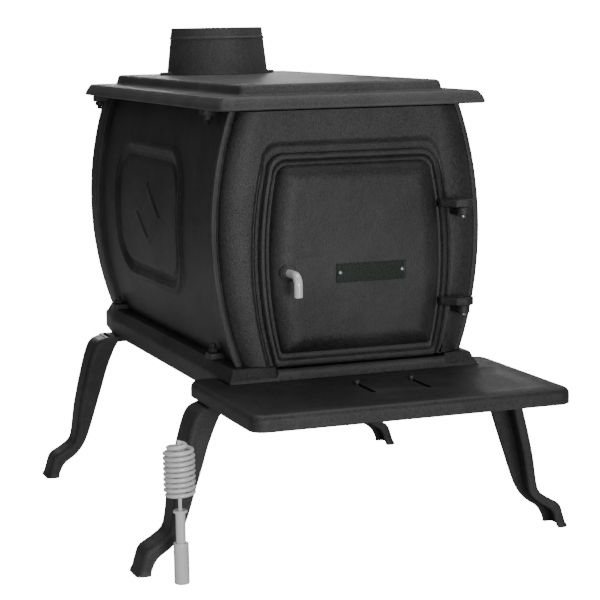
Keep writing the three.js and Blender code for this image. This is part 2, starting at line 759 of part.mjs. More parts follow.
function leg() {
  const outer = legLine(legOuter);
  const inner = legLine(legInner);
  const padBottom = legHeight - legPadThickness;
  const half = [legTopWidth / 2, legSoleWidth / 2];
  const taper = (inset) => sideSlab([[-half[1] + inset, 0], [half[1] - inset, 0],
    [half[0] - inset, legHeight], [-half[0] + inset, legHeight]], -far, far);
  let body = slab([...outer, ...inner.reverse()], -legTopWidth, legTopWidth);
  body = body.add(box(-legPadInner, legInner[0][0] + 10, -legTopWidth, legTopWidth, padBottom, legHeight));
  body = body.intersect(taper(0));
  const below = box(-far, far, -far, far, -50, padBottom);
  const inside = (by) => slab([...movedIn(outer, by), [-legPadInner, -20], [-legPadInner, legHeight]],
    -far, far).intersect(below);
  body = body.subtract(inside(legWall).intersect(taper(legWall)));
  body = body.subtract(inside(legShortWing).intersect(box(-far, far, -far, 0, -50, legHeight)));
  return body.subtract(boltHole(0, 0, 0, far));
}

function addLegs() {
  const shape = leg();
  for (const [side, sx] of sides) {
    for (const [end, y, inset] of legs) {
      const mesh = add(`${end}_${side}_leg`, shape, blackIron);
      mesh.position.set(sx * (legBoltX - inset), y, 0);
      mesh.rotation.z = sx < 0 ? Math.PI : 0;
      const head = legHeight - legPadThickness - gap - nutHeight;
      add(`${end}_${side}_leg_bolt`,
        bolt(sx * (legBoltX - inset), y, head, head, baseUnderside + boltIntoBase), zinc);
    }
  }
}

// ---------- grate and draft slide ----------
function fireGrate() {
  const z0 = baseUnderside + baseFloor + gap;
  const bars = z0 + grateRise;
  let body = box(-grateHalfWidth, grateHalfWidth, grateFrontY, grateBackY, bars, bars + grateThickness);
  const pitch = (grateBackY - grateFrontY) / (grateSlots + 1);
  for (let i = 1; i <= grateSlots; i++) {
    const y = grateFrontY + pitch * i;
    const x = grateHalfWidth - grateFoot;
    body = body.subtract(box(-x, x, y - grateSlotWidth / 2, y + grateSlotWidth / 2, bars - 1, bars + 50));
  }
  for (const sx of [-1, 1]) {
    for (const y of [grateFrontY, grateBackY - grateFoot]) {
      const x = sx * (grateHalfWidth - grateFoot / 2);
      body = body.add(box(x - grateFoot / 2, x + grateFoot / 2, y, y + grateFoot, z0, bars + 1));
    }
  }
  return body;
}

const slideTop = baseUnderside - gap;

function draftSlide() {
  const back = portFrontY + portDepth + slideLap;
  const plan = roundedRect(-slideHalfWidth, slideHalfWidth, slideFrontY, back, 8);
  return prism(plan, slideTop - slideThickness, slideTop);
}

function slideStrap(y) {
  const inner = slideHalfWidth + strapClear;
  const outer = inner + strapFoot;
  const shelf = slideTop - slideThickness - gap;
  const bottom = shelf - strapThickness;
  const s = [[-outer, bottom], [outer, bottom], [outer, slideTop], [inner, slideTop], [inner, shelf],
    [-inner, shelf], [-inner, slideTop], [-outer, slideTop]];
  return slab(s, y - strapDepth / 2, y + strapDepth / 2);
}

function draftKnob(x) {
  const y = slotBackY - knobRadius - 1;
  const seat = hearthTop - hearthDish + 2 * gap;
  return cylinderZ(x, y, knobStemRadius, slideTop + gap, seat + 1, 12)
    .add(cylinderZ(x, y, knobRadius, seat, seat + knobHeight, 16));
}

// ---------- loose spring handle ----------
// centre line: out from the core, round the coil, and back to the core under its tip
class SpringLine extends THREE.Curve {
  constructor() {
    super();
    this.straight = 2 * wireRadius;
    this.startRadius = handleCoreRadius + gap;
    this.turns = coilInTurns + coilTurns + coilDomeTurns;
  }

  // angle in turns along the winding
  onWinding(turn) {
    const bend = this.startRadius + this.straight;
    const ease = (s) => Math.sin(Math.PI / 2 * s);
    let r = coilRadius;
    if (turn < coilInTurns) {
      r = bend + (coilRadius - bend) * ease(turn / coilInTurns);
    }
    const left = this.turns - turn;
    if (left < coilDomeTurns) {
      r = bend + (coilRadius - bend) * ease(left / coilDomeTurns);
    }
    const a = 2 * Math.PI * turn;
    return new THREE.Vector3(r * Math.cos(a), r * Math.sin(a), coilBottom + coilPitch * turn);
  }

  getPoint(t, target = new THREE.Vector3()) {
    const share = 0.02;
    const inner = this.startRadius;
    let p;
    if (t < share) {
      p = this.onWinding(0);
      p.x = inner + this.straight * t / share;
    } else if (t > 1 - share) {
      p = this.onWinding(this.turns);
      const k = (inner + this.straight * (1 - t) / share) / Math.hypot(p.x, p.y);
      p.x *= k;
      p.y *= k;
    } else {
      p = this.onWinding(this.turns * (t - share) / (1 - 2 * share));
    }
    return target.copy(p);
  }
}

function leastGap(curve, samples, skip) {
  const points = curve.getSpacedPoints(samples);
  let least = Infinity;
  for (let i = 0; i < points.length; i++) {
    for (let j = i + skip; j < points.length; j++) {
      least = Math.min(least, points[i].distanceTo(points[j]));
    }
  }
  return least - 2 * wireRadius;
}

function handleCoil() {
  const line = new SpringLine();
  const section = [];
  for (let i = 0; i < 5; i++) {
    const a = 2 * Math.PI * i / 5;
    section.push([wireRadius * Math.cos(a), wireRadius * Math.sin(a)]);
  }
  const steps = Math.round(8 * line.turns) + 2;
  const g = new THREE.ExtrudeGeometry(shapeOf(section), { steps, bevelEnabled: false, extrudePath: line });
  const samples = 600;
  const skip = Math.ceil(samples * 4 * wireRadius / line.getLength());
  console.log('spring: least gap to itself, mm', leastGap(line, samples, skip).toFixed(2));
  return solid(g).translate([handleX, handleY, 0]);
}

function handleRod() {
  const top = coilBottom + coilPitch * (coilInTurns + coilTurns + coilDomeTurns);
  const foot = socketHeight + gap;
  return lathed([[0, foot], [handleRodRadius, foot], [handleRodRadius, handleRodTop],
    [handleCoreRadius, handleRodTop], [handleCoreRadius, top + wireRadius], [0, top + wireRadius + 1.5],
    [0, foot]], handleX, handleY, 20);
}

function handleWasher() {
  const z = handleRodTop + gap;
  const bore = handleCoreRadius + gap;
  const top = z + handleWasherThickness;
  return lathed([[bore, z], [handleRodRadius, z], [handleWasherRadius, top - 1], [handleWasherRadius, top],
    [bore, top], [bore, z]], handleX, handleY, 20);
}

function handleSocket() {
  return lathed([[0, socketHeight], [0, socketDepth], [socketBore, socketDepth], [socketBore, 0],
    [socketRadius, 0], [socketRadius, socketHeight], [0, socketHeight]], handleX, handleY, 24);
}

// ---------- assembly ----------
add('base_plate', basePlate(), blackIron);
add('hearth', hearth(), blackIron);
add('front_panel', frontPanel(), blackIron);
add('back_panel', backPanel(), blackIron);
for (const [side, sx] of sides) {
  add(`${side}_side_panel`, sidePanel(sx), blackIron);
}
add('top_plate', topPlate(), blackIron);
add('flue_collar', flueCollar(), blackIron);
addCollarBolts();
addCornerBolts();
addLegs();
add('door', door(), blackIron);
for (const [i, rise] of hingeEarRises.entries()) {
  add(`${['upper', 'lower'][i]}_hinge_pin`, hingePin(bodyBottom + rise), zinc);
}
add('latch_lever', latchLever(), chrome);
add('latch_washer', latchWasher(), zinc);
add('latch_pawl', latchPawl(), darkIron);
add('latch_nut', latchNut(), zinc);
addDoorPlate();
add('fire_grate', fireGrate(), darkIron);
add('draft_slide', draftSlide(), darkIron);
for (const [i, y] of strapYs.entries()) {
  add(`${['front', 'rear'][i]}_slide_strap`, slideStrap(y), darkIron);
}
for (const [side, sx] of sides) {
  add(`${side}_draft_knob`, draftKnob(slotMiddleX + sx * slotX), zinc);
}
add('handle_coil', handleCoil(), chrome);
add('handle_rod', handleRod(), chrome);
add('handle_washer', handleWasher(), chrome);
add('handle_socket', handleSocket(), chrome);

export default stove;
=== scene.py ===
# %% [markdown]
# # A cast-iron box wood stove
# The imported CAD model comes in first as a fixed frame: its bodies carry the joints, and its nodes
# say where every casting, bolt and pin sits. Each later cell builds one better-looking piece around
# a node, in the same place, and lets it ride on that node's body.

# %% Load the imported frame
import math

import bmesh
import bpy
from mathutils import Matrix, Vector


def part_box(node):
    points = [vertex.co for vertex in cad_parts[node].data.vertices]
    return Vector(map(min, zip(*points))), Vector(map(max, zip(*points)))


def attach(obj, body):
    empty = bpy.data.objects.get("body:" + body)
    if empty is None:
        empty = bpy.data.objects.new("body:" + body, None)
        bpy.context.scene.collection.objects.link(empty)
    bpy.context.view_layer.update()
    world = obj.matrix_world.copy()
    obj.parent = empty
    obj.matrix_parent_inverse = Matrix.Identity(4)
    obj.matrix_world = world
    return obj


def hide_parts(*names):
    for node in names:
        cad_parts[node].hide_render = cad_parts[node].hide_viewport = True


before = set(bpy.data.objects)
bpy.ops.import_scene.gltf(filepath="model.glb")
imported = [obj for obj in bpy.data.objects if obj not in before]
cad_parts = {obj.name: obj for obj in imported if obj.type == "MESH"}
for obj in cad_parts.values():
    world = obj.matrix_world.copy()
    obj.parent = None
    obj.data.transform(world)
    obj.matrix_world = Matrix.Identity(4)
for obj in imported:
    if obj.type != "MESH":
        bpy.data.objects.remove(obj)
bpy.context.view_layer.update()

# %% [markdown]
# ## Units and heights
# Iron founders think in millimetres, so every piece below is drawn in them: x across the stove,
# y back from the front edge of the top plate, z over the floor. One matrix takes a finished mesh
# to the frame's metres. The main heights are read from the frame, so they follow the CAD.

# %% Units and heights
MM = 0.001
TOP_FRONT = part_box("top_plate")[0].y
TO_ROW = Matrix.Translation((0, TOP_FRONT, 0)) @ Matrix.Scale(MM, 4)


def heights(node):
    """Lowest and highest z of a node in millimetres."""
    low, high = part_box(node)
    return low.z / MM, high.z / MM


def depths(node):
    """Front and back y of a node, in millimetres back from the top plate's front edge."""
    low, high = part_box(node)
    return (low.y - TOP_FRONT) / MM, (high.y - TOP_FRONT) / MM


def place_of(node):
    """The middle of a node in plan, in millimetres."""
    low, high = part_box(node)
    return (low.x + high.x) / 2 / MM, ((low.y + high.y) / 2 - TOP_FRONT) / MM


BASE_UNDER, BASE_TOP = heights("base_plate")
BODY_BOTTOM, BODY_TOP = heights("left_side_panel")
CORNICE_BOTTOM, COOK_TOP = heights("top_plate")
COLLAR_BOTTOM, COLLAR_TOP = heights("flue_collar")
DOOR_BOTTOM, DOOR_TOP = heights("door")
HEARTH_TOP = heights("hearth")[1]
BASE_FRONT, BASE_BACK = depths("base_plate")
WRAP_EDGE, BACK_FACE = depths("back_panel")
TOP_BACK = depths("top_plate")[1]
HEARTH_FRONT, HEARTH_BACK = depths("hearth")
print("body from", round(BODY_BOTTOM, 1), "to", round(BODY_TOP, 1), "mm over the floor")

# %% [markdown]
# ## Outlines
# The stove's panels and its door share one family of outline: straight top and bottom, two bowed
# sides and small round corners. An arc helper and one outline function draw them all, so a piece
# that fits another is drawn from the same curve with a different inset.

# %% Outline helpers


def arc(u, v, radius, start, end, steps=6):
    """Points on a circle round (u, v), from one angle to another in degrees."""
    turns = [math.radians(start + (end - start) * i / steps) for i in range(steps + 1)]
    return [(u + radius * math.cos(a), v + radius * math.sin(a)) for a in turns]


def rounded_rect(x0, x1, y0, y1, radius, steps=6):
    return (arc(x1 - radius, y0 + radius, radius, -90, 0, steps)
            + arc(x1 - radius, y1 - radius, radius, 0, 90, steps)
            + arc(x0 + radius, y1 - radius, radius, 90, 180, steps)
            + arc(x0 + radius, y0 + radius, radius, 180, 270, steps))


def bowed(z, half, radius, centre):
    """Half width at height z of a side that bows out as part of a circle."""
    return half - radius + math.sqrt(radius * radius - (z - centre) ** 2)


def bowed_outline(half_at, z0, z1, top_corner, bottom_corner, steps=20):
    right = arc(half_at(z0 + bottom_corner) - bottom_corner, z0 + bottom_corner, bottom_corner, -90, 0)
    low, high = z0 + bottom_corner, z1 - top_corner
    right += [(half_at(low + (high - low) * i / steps), low + (high - low) * i / steps)
              for i in range(1, steps)]
    right += arc(half_at(high) - top_corner, high, top_corner, 0, 90)
    return right + [(-x, z) for x, z in reversed(right)]


BOW_HALF, BOW_RADIUS = 217.5, 570.0
BOW_CENTRE = BODY_BOTTOM + 193.0


def body_half(z):
    return bowed(z, BOW_HALF, BOW_RADIUS, BOW_CENTRE)


def body_outline(side, top, bottom, corner=2.0):
    return bowed_outline(lambda z: body_half(z) - side, BODY_BOTTOM + bottom, BODY_TOP - top, corner, corner)


DOOR_HALF, DOOR_RADIUS = 155.0, 600.0
DOOR_CENTRE = DOOR_BOTTOM + 158.0


def door_outline(side, top, bottom):
    def half_at(z):
        return bowed(z, DOOR_HALF, DOOR_RADIUS, DOOR_CENTRE) - side

    top_corner = max(28.0 - max(side, 0.0) / 2, 8.0)
    return bowed_outline(half_at, DOOR_BOTTOM + bottom, DOOR_TOP - top, top_corner, 6.0)


print("body is", round(2 * body_half(BODY_TOP), 1), "mm wide at its top,", 2 * BOW_HALF, "at its widest")

# %% [markdown]
# ## Modelling helpers
# A casting is modelled as a founder's pattern is built, in sections: each outline becomes a closed
# loop of edges, Blender's bridge operator skins the gap between two loops, and the bevel operator
# takes the sharp edges off. Every finished piece goes through one function that welds it, turns
# its faces outwards, takes it to metres and hands it to its body.

# %% Modelling helpers
SHARP_ANGLE = math.radians(38)
WELD = 1e-4
AXIS = 0.02  # radius at which a turned solid's profile starts and ends
BOLT_HOLE = 4.9


def loop(bm, points):
    """A closed loop of edges through the points."""
    verts = [bm.verts.new(p) for p in points]
    return [bm.edges.new(pair) for pair in zip(verts, verts[1:] + verts[:1])]


def ring(bm, outline, z):
    """A loop through a plan outline (x, y) at height z."""
    return loop(bm, [(x, y, z) for x, y in outline])


def front_loop(bm, outline, y):
    """A loop through a front outline (x, z) standing at depth y."""
    return loop(bm, [(x, y, z) for x, z in outline])


def skin(bm, loops):
    """Faces between each loop and the next."""
    for one, other in zip(loops, loops[1:]):
        bmesh.ops.bridge_loops(bm, edges=one + other)


def cap(bm, edges):
    bmesh.ops.contextual_create(bm, geom=edges)


def closed_skin(bm, loops):
    """Faces between the loops, and a cap on the first and the last."""
    skin(bm, loops)
    cap(bm, loops[0])
    cap(bm, loops[-1])


def soften(bm, radius, angle=30, segments=2):
    """Rounds every edge that turns by more than angle."""
    bmesh.ops.recalc_face_normals(bm, faces=bm.faces)
    edges = [e for e in bm.edges if len(e.link_faces) == 2 and e.calc_face_angle() > math.radians(angle)]
    bmesh.ops.bevel(bm, geom=edges, offset=radius, offset_type="OFFSET", affect="EDGES", segments=segments,
                    profile=0.5, material=-1, clamp_overlap=True)


def turned(bm, profile, centre, axis, steps):
    """Spins a closed profile of (radius, along) about an axis, Y or Z, through centre."""
    along = Vector((0, 1, 0)) if axis == "Y" else Vector((0, 0, 1))
    out = Vector((1, 0, 0))
    middle = Vector(centre)
    edges = loop(bm, [middle + out * r + along * h for r, h in profile])
    bmesh.ops.spin(bm, geom=edges, cent=middle, axis=along, angle=math.tau, steps=steps, use_merge=True)


def washer_prism(bm, outline, hole, z0, z1):
    """A flat bar with a hole through it."""
    loops = [ring(bm, line, z) for line, z in ((outline, z0), (outline, z1), (hole, z1), (hole, z0))]
    skin(bm, loops + loops[:1])


def bolt_hole(x, y):
    return arc(x, y, BOLT_HOLE, 0, 360, 20)[:-1]


def join(bm, part):
    """Adds a finished bmesh to another."""
    mesh = bpy.data.meshes.new("part")
    part.to_mesh(mesh)
    part.free()
    bm.from_mesh(mesh)
    bpy.data.meshes.remove(mesh)


def piece(name, bm, body, look, node):
    """Finishes a shape drawn in millimetres as the piece that is seen in the node's place."""
    bmesh.ops.remove_doubles(bm, verts=bm.verts, dist=WELD)
    bmesh.ops.recalc_face_normals(bm, faces=bm.faces)
    bmesh.ops.transform(bm, matrix=TO_ROW, verts=bm.verts)
    mesh = bpy.data.meshes.new(name)
    bm.to_mesh(mesh)
    bm.free()
    mesh.shade_smooth()
    mesh.set_sharp_from_angle(angle=SHARP_ANGLE)
    mesh.materials.append(look[0])
    obj = bpy.data.objects.new(name, mesh)
    bpy.context.scene.collection.objects.link(obj)
    obj.modifiers.new("even shading", "WEIGHTED_NORMAL").keep_sharp = True
    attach(obj, body)
    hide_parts(node)
    print(f"{name}: {len(mesh.polygons)} faces on {body}")


def turned_piece(name, profile, centre, axis, steps, body, look, node):
    """A piece that is one turned shape."""
    bm = bmesh.new()
    turned(bm, profile, centre, axis, steps)
    piece(name, bm, body, look, node)


# %% [markdown]
# ## Camera
# The photograph was taken from the stove's front left, a little above its top plate. The lens and
# place come from a fit of the stove's own corners, so the render can be laid over the photograph.
# The camera is turned from its three angles rather than aimed at a target, because the
# photograph isn't centred on any one part of the stove.

# %% Camera
CAMERA_AT = Vector((-1.0589, -2.9159, 0.8065))
YAW, DOWN, ROLL = 0.352, 0.146, -0.017
SENSOR_WIDTH, LENS = 36.0, 114.457

forward = Vector((math.sin(YAW) * math.cos(DOWN), math.cos(YAW) * math.cos(DOWN), -math.sin(DOWN)))
right = Vector((math.cos(YAW), -math.sin(YAW), 0))
up = right.cross(forward)
right, up = (right * math.cos(ROLL) + up * math.sin(ROLL), up * math.cos(ROLL) - right * math.sin(ROLL))
camera_data = bpy.data.cameras.new("camera")
camera_data.sensor_width = SENSOR_WIDTH
camera_data.lens = LENS
camera = bpy.data.objects.new("camera", camera_data)
camera.matrix_world = Matrix.Translation(CAMERA_AT) @ Matrix((right, up, -forward)).transposed().to_4x4()
bpy.context.scene.collection.objects.link(camera)
bpy.context.scene.camera = camera
print("camera", round((CAMERA_AT - Vector((0, 0, 0.4))).length, 2), "m from the stove's middle")

# %% [markdown]
# ## Studio
# A catalogue photograph of black iron has one job: show its shape by reflections alone. The room is
# dark to the left and bright in front, on the right and behind, so the side panel stays deep and
# each rounded edge that turns to the front draws a line of light. Four softboxes stand round it,
# out of the picture. To the camera the floor and backdrop are plain white, as a photographer's
# overexposed paper is, but they return only part of that light to the stove.

# %% Studio


def area_light(name, at, towards, width, height, watts):
    data = bpy.data.lights.new(name, "AREA")
    data.shape = "RECTANGLE"
    data.size, data.size_y = width, height
    data.energy = watts
    light = bpy.data.objects.new(name, data)
    light.location = at
    light.visible_camera = False
    light.rotation_euler = (Vector(towards) - Vector(at)).to_track_quat("-Z", "Y").to_euler()
    bpy.context.scene.collection.objects.link(light)


def fill(tree, node, inputs):
    """Sets a node's inputs: another node's output is linked, anything else is a constant."""
    for socket, value in inputs.items():
        if isinstance(value, bpy.types.NodeSocket):
            tree.links.new(value, node.inputs[socket])
        else:
            node.inputs[socket].default_value = value
    return node


def add(tree, kind, inputs=None, **settings):
    """A new node with its settings and inputs."""
    node = tree.nodes.new("ShaderNode" + kind)
    for name, value in settings.items():
        setattr(node, name, value)
    return fill(tree, node, inputs or {})


def by_viewer(tree, for_stove, for_camera, output):
    """Gives the camera one shader and every other ray another."""
    camera_ray = add(tree, "LightPath").outputs["Is Camera Ray"]
    seen = add(tree, "MixShader", {0: camera_ray, 1: for_stove, 2: for_camera})
    fill(tree, tree.nodes[output], {"Surface": seen.outputs["Shader"]})


WHITE = (1.0, 1.0, 1.0, 1.0)
PAPER_WHITE = 16.0
ROOM_BRIGHT, ROOM_DARK = 0.22, 0.01
DARK_WAY = Vector((-1.0, 0.25, 0.0)).normalized()

world = bpy.data.worlds.new("studio room")
world.use_nodes = True
tree = world.node_tree
direction = add(tree, "TexCoord").outputs["Generated"]
towards = add(tree, "VectorMath", {0: direction, 1: DARK_WAY}, operation="DOT_PRODUCT")
shade = add(tree, "MapRange", {"Value": towards.outputs["Value"], "From Min": 0.1, "From Max": 0.85,
                               "To Min": ROOM_BRIGHT, "To Max": ROOM_DARK},
            interpolation_type="SMOOTHSTEP")
room = fill(tree, tree.nodes["Background"], {"Color": WHITE, "Strength": shade.outputs["Result"]})
paper = add(tree, "Background", {"Color": WHITE, "Strength": PAPER_WHITE})
by_viewer(tree, room.outputs["Background"], paper.outputs["Background"], "World Output")
bpy.context.scene.world = world

area_light("front softbox", (-0.1, -4.2, 0.6), (0, 0, 0.4), 1.3, 1.1, 66)
area_light("left softbox", (-2.8, -2.6, 1.2), (0, -0.1, 0.45), 1.4, 1.8, 14)
area_light("overhead softbox", (0.2, 0.1, 3.0), (0, 0.1, 0.4), 2.4, 2.4, 40)
area_light("back softbox", (0.95, 4.2, 1.0), (0.1, 0, 0.6), 1.5, 1.0, 58)

FLOOR_SIZE, FLOOR_SINK, FLOOR_GREY = 40.0, 0.0005, (0.55, 0.55, 0.55, 1.0)
bm = bmesh.new()
bmesh.ops.create_grid(bm, x_segments=1, y_segments=1, size=FLOOR_SIZE / 2)
floor_mesh = bpy.data.meshes.new("floor")
bm.to_mesh(floor_mesh)
bm.free()
floor = bpy.data.objects.new("floor", floor_mesh)
floor.location.z = -FLOOR_SINK
bpy.context.scene.collection.objects.link(floor)
floor_paint = bpy.data.materials.new("floor paint")
floor_paint.use_nodes = True
tree = floor_paint.node_tree
matt = fill(tree, tree.nodes["Principled BSDF"],
            {"Base Color": FLOOR_GREY, "Roughness": 0.9, "Specular IOR Level": 0.0})
lit = add(tree, "Emission", {"Strength": PAPER_WHITE})
by_viewer(tree, matt.outputs["BSDF"], lit.outputs["Emission"], "Material Output")
floor_mesh.materials.append(floor_paint)
print("studio ready:", len(bpy.data.lights), "softboxes")

# %% [markdown]
# ## Finishes
# Sand-cast iron keeps the grain of the mould under its thin black paint, so its colour barely
# changes while its surface never lies quite flat. One function builds that look from three sizes
# of noise in the piece's own space: grain, soft waviness and faint cloudiness. Plated hardware and
# enamel use the same function with finer grain and other base values. The copies of the iron for the
# top plate and for the legs are painted lighter, as painted light for the brighter light they catch.

# %% Finishes


def noise_at(tree, place, scale, detail=3.0, rough=0.55):
    node = add(tree, "TexNoise", {"Vector": place, "Scale": scale, "Detail": detail, "Roughness": rough})
    return node.outputs["Fac"]


def ramp(tree, value, stops):
    """Two colours spread over a value: [(position, (r, g, b)), ...]."""
    node = add(tree, "ValToRGB", {"Fac": value})
    for element, (position, color) in zip(node.color_ramp.elements, stops):
        element.position = position
        element.color = (*color, 1.0)
    return node.outputs["Color"]


def spread(tree, value, low, high, start=0.3, end=0.7):
    node = add(tree, "MapRange", {"Value": value, "From Min": start, "From Max": end, "To Min": low,
                                  "To Max": high})
    return node.outputs["Result"]


def bump(tree, height, distance, under=None):
    """Relief of a height; under is the normal of a coarser relief that it lies on."""
    node = add(tree, "Bump", {"Height": height, "Distance": distance, "Strength": 1.0})
    if under is not None:
        tree.links.new(under, node.inputs["Normal"])
    return node.outputs["Normal"]


CLOUD_SCALE, FINE_SHARE = 9.0, 0.68


def metal_finish(name, slot, dark, light, roughness, metallic, grain, waves, specular=0.5, worn=None):
    """A material and its slot. grain and waves are (noise scale, depth in metres); worn is the
    colour of rubbed edges."""
    material = bpy.data.materials.new(name)
    material.use_nodes = True
    tree = material.node_tree
    place = add(tree, "TexCoord").outputs["Object"]
    cloud = noise_at(tree, place, CLOUD_SCALE, 4.0)
    fine = noise_at(tree, place, grain[0], 3.0, 0.7)
    wave = noise_at(tree, place, waves[0], 2.0)
    speckle = add(tree, "Mix", {"Factor": FINE_SHARE, "A": cloud, "B": fine})
    color = ramp(tree, speckle.outputs["Result"], [(0.40, dark), (0.60, light)])
    if worn is not None:
        pointiness = add(tree, "NewGeometry").outputs["Pointiness"]
        rubbed = add(tree, "Math", {0: spread(tree, pointiness, 0.0, 1.0, 0.53, 0.62),
                                    1: spread(tree, cloud, 0.2, 1.0, 0.35, 0.6)}, operation="MULTIPLY")
        edge = add(tree, "Mix", {"Factor": rubbed.outputs["Value"], 6: color, 7: (*worn, 1.0)},
                   data_type="RGBA")
        color = edge.outputs[2]
    fill(tree, tree.nodes["Principled BSDF"], {
        "Metallic": metallic, "Specular IOR Level": specular, "Base Color": color,
        "Roughness": spread(tree, fine, *roughness),
        "Normal": bump(tree, fine, grain[1], bump(tree, wave, waves[1]))})
    return material, slot


WORN = (0.085, 0.085, 0.085)
cast_iron = metal_finish("satin black cast iron", "cast_iron", (0.007, 0.007, 0.0072), (0.044, 0.044, 0.0445),
                         (0.32, 0.56), 0.0, (480.0, 0.0007), (40.0, 0.0009), 0.5, WORN)
# Painted light: this copy of the black iron, for the top plate and collar, is lighter to stand in for the
# brighter light on the top; its edge colour is worn paint.
top_iron_painted_light = metal_finish("black cast iron painted lighter for top light", "cast_iron", (0.034, 0.034, 0.0343), (0.092, 0.092, 0.0925),
                        (0.42, 0.62), 0.0, (480.0, 0.0006), (24.0, 0.0016), 0.5, (0.13, 0.13, 0.13))
# Painted light: this copy of the black iron, for the legs, is lighter to stand in for the light on their
# fronts; its rubbed edge colour is real wear.
leg_iron_painted_light = metal_finish("rubbed black cast iron painted lighter for leg light", "cast_iron", (0.020, 0.020, 0.0203), (0.066, 0.066, 0.0665),
                        (0.40, 0.60), 0.0, (620.0, 0.0003), (45.0, 0.0009), 0.4, (0.11, 0.11, 0.11))
bare_iron = metal_finish("bare grey iron", "cast_iron", (0.020, 0.019, 0.018), (0.035, 0.032, 0.030),
                         (0.6, 0.8), 0.3, (500.0, 0.0002), (60.0, 0.0006))
zinc = metal_finish("dull zinc plate", "zinc_hardware", (0.36, 0.37, 0.39), (0.52, 0.53, 0.54),
                    (0.30, 0.45), 0.9, (1500.0, 0.00002), (300.0, 0.00008))
chrome = metal_finish("bright plated steel", "chrome_plate", (0.90, 0.90, 0.905), (0.98, 0.98, 0.98),
                      (0.14, 0.22), 0.15, (1200.0, 0.00001), (160.0, 0.00006))
dark_steel = metal_finish("blackened steel", "zinc_hardware", (0.022, 0.022, 0.023), (0.05, 0.05, 0.052),
                          (0.35, 0.55), 0.2, (1500.0, 0.00002), (300.0, 0.00008))
enamel = metal_finish("dark plate enamel", "dark_enamel", (0.011, 0.018, 0.013), (0.015, 0.023, 0.017),
                      (0.22, 0.32), 0.0, (900.0, 0.00001), (120.0, 0.00005))
dark_bolt = (dark_steel[0], "cast_iron")
print("eight finishes ready, from", cast_iron[0].name, "to", enamel[0].name)

# %% [markdown]
# ## Top plate
# The top is one casting: a moulded edge all round, a flat ledge, and the raised cook top, which
# rises from the ledge in a small cove and has the round flue opening at its back. It is skinned
# from plan outlines that follow the moulding upwards, in over the flat, down the flue opening and
# back out under the plate, so the wall is a real one all the way.

# %% Top plate
TOP_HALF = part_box("top_plate")[1].x / MM
LEDGE = COOK_TOP - 16.0
PLATEAU_SIDE, PLATEAU_BACK = 50.0, 36.0
COLLAR_Y = TOP_BACK - 131.0
FLUE_BORE = 76.0
TOP_WALL = 9.0


def top_plan(inset):
    return rounded_rect(inset - TOP_HALF, TOP_HALF - inset, inset, TOP_BACK - inset, max(12.0 - inset / 2, 3.0))


def plateau_plan(inset, corner=12.0):
    side = PLATEAU_SIDE + inset
    return rounded_rect(side - TOP_HALF, TOP_HALF - side, side, TOP_BACK - PLATEAU_BACK - inset, corner)


def flue_ring(radius):
    return arc(0, COLLAR_Y, radius, 0, 360, 48)[:-1]


MOULDING = [(4.0, 0.0), (1.2, 0.5), (0.0, 2.0), (0.4, 5.0), (2.6, 10.0), (6.0, 15.0), (8.4, 18.2),
            (10.6, 19.6), (14.0, 20.0)]
COVE = [(-5.0, 0.0), (-2.2, 0.5), (-0.6, 2.0), (0.4, 4.6), (1.2, 9.0), (2.2, 12.6), (4.0, 15.0),
        (7.0, 16.0)]
bm = bmesh.new()
loops = [ring(bm, top_plan(inset), CORNICE_BOTTOM + rise) for inset, rise in MOULDING]
loops += [ring(bm, plateau_plan(inset), LEDGE + rise) for inset, rise in COVE]
loops += [ring(bm, flue_ring(FLUE_BORE), z) for z in (COOK_TOP, COOK_TOP - TOP_WALL)]
loops += [ring(bm, plateau_plan(TOP_WALL), z) for z in (COOK_TOP - TOP_WALL, CORNICE_BOTTOM)]
skin(bm, loops + loops[:1])
piece("cast_top_plate", bm, "stove", top_iron_painted_light, "top_plate")

# %% [markdown]
# ## Flue collar
# The collar is a plain tapered ring with one bead under its rim, where the stovepipe's edge stops,
# and two ears that screw it to the top. A turned shape is best made as a lathe makes it, so its
# half section is spun round the flue's axis.

# %% Flue collar
BEAD_Z = COLLAR_TOP - 18.0
COLLAR_EAR_REACH, COLLAR_EAR_THICK, COLLAR_EAR_HALF = 105.5, 4.5, 12.0


FOOT_RADIUS, RIM_RADIUS = 90.5, 81.0


def collar_radius(z):
    return FOOT_RADIUS + (RIM_RADIUS - FOOT_RADIUS) * (z - COLLAR_BOTTOM) / (COLLAR_TOP - COLLAR_BOTTOM)


section = [(FLUE_BORE, COLLAR_BOTTOM), (90.0, COLLAR_BOTTOM),
           (collar_radius(COLLAR_BOTTOM + 1), COLLAR_BOTTOM + 1)]
section += [(collar_radius(z), z) for z in (COLLAR_BOTTOM + 20, COLLAR_BOTTOM + 40, BEAD_Z - 3.0)]
section += [(collar_radius(BEAD_Z) + out, BEAD_Z + rise)
            for out, rise in ((0.9, -2.0), (1.6, -0.8), (1.6, 0.8), (0.9, 2.0))]
section += [(collar_radius(z), z) for z in (BEAD_Z + 3.0, COLLAR_TOP - 1.0)]
section += [(80.2, COLLAR_TOP), (FLUE_BORE + 0.8, COLLAR_TOP), (FLUE_BORE, COLLAR_TOP - 0.8)]
bm = bmesh.new()
turned(bm, section, (0, COLLAR_Y, 0), "Z", 96)
for side in (-1, 1):
    ear = bmesh.new()
    near, far = sorted((side * 82.0, side * COLLAR_EAR_REACH))
    outline = rounded_rect(near, far, COLLAR_Y - COLLAR_EAR_HALF, COLLAR_Y + COLLAR_EAR_HALF, 6.0)
    closed_skin(ear, [ring(ear, outline, z) for z in (COLLAR_BOTTOM, COLLAR_BOTTOM + COLLAR_EAR_THICK)])
    soften(ear, 1.2)
    join(bm, ear)
piece("cast_flue_collar", bm, "stove", top_iron_painted_light, "flue_collar")

# %% [markdown]
# ## Front panel
# The front casting has a thin flat flange at its sides, a broad convex roll inside it, and a flat
# middle that turns in to a thin ridge and a groove round the door. The panel is skinned from front
# outlines, in through the door opening and back out along its inner side, so it has the wall of a
# real casting, which shows when the door stands open.

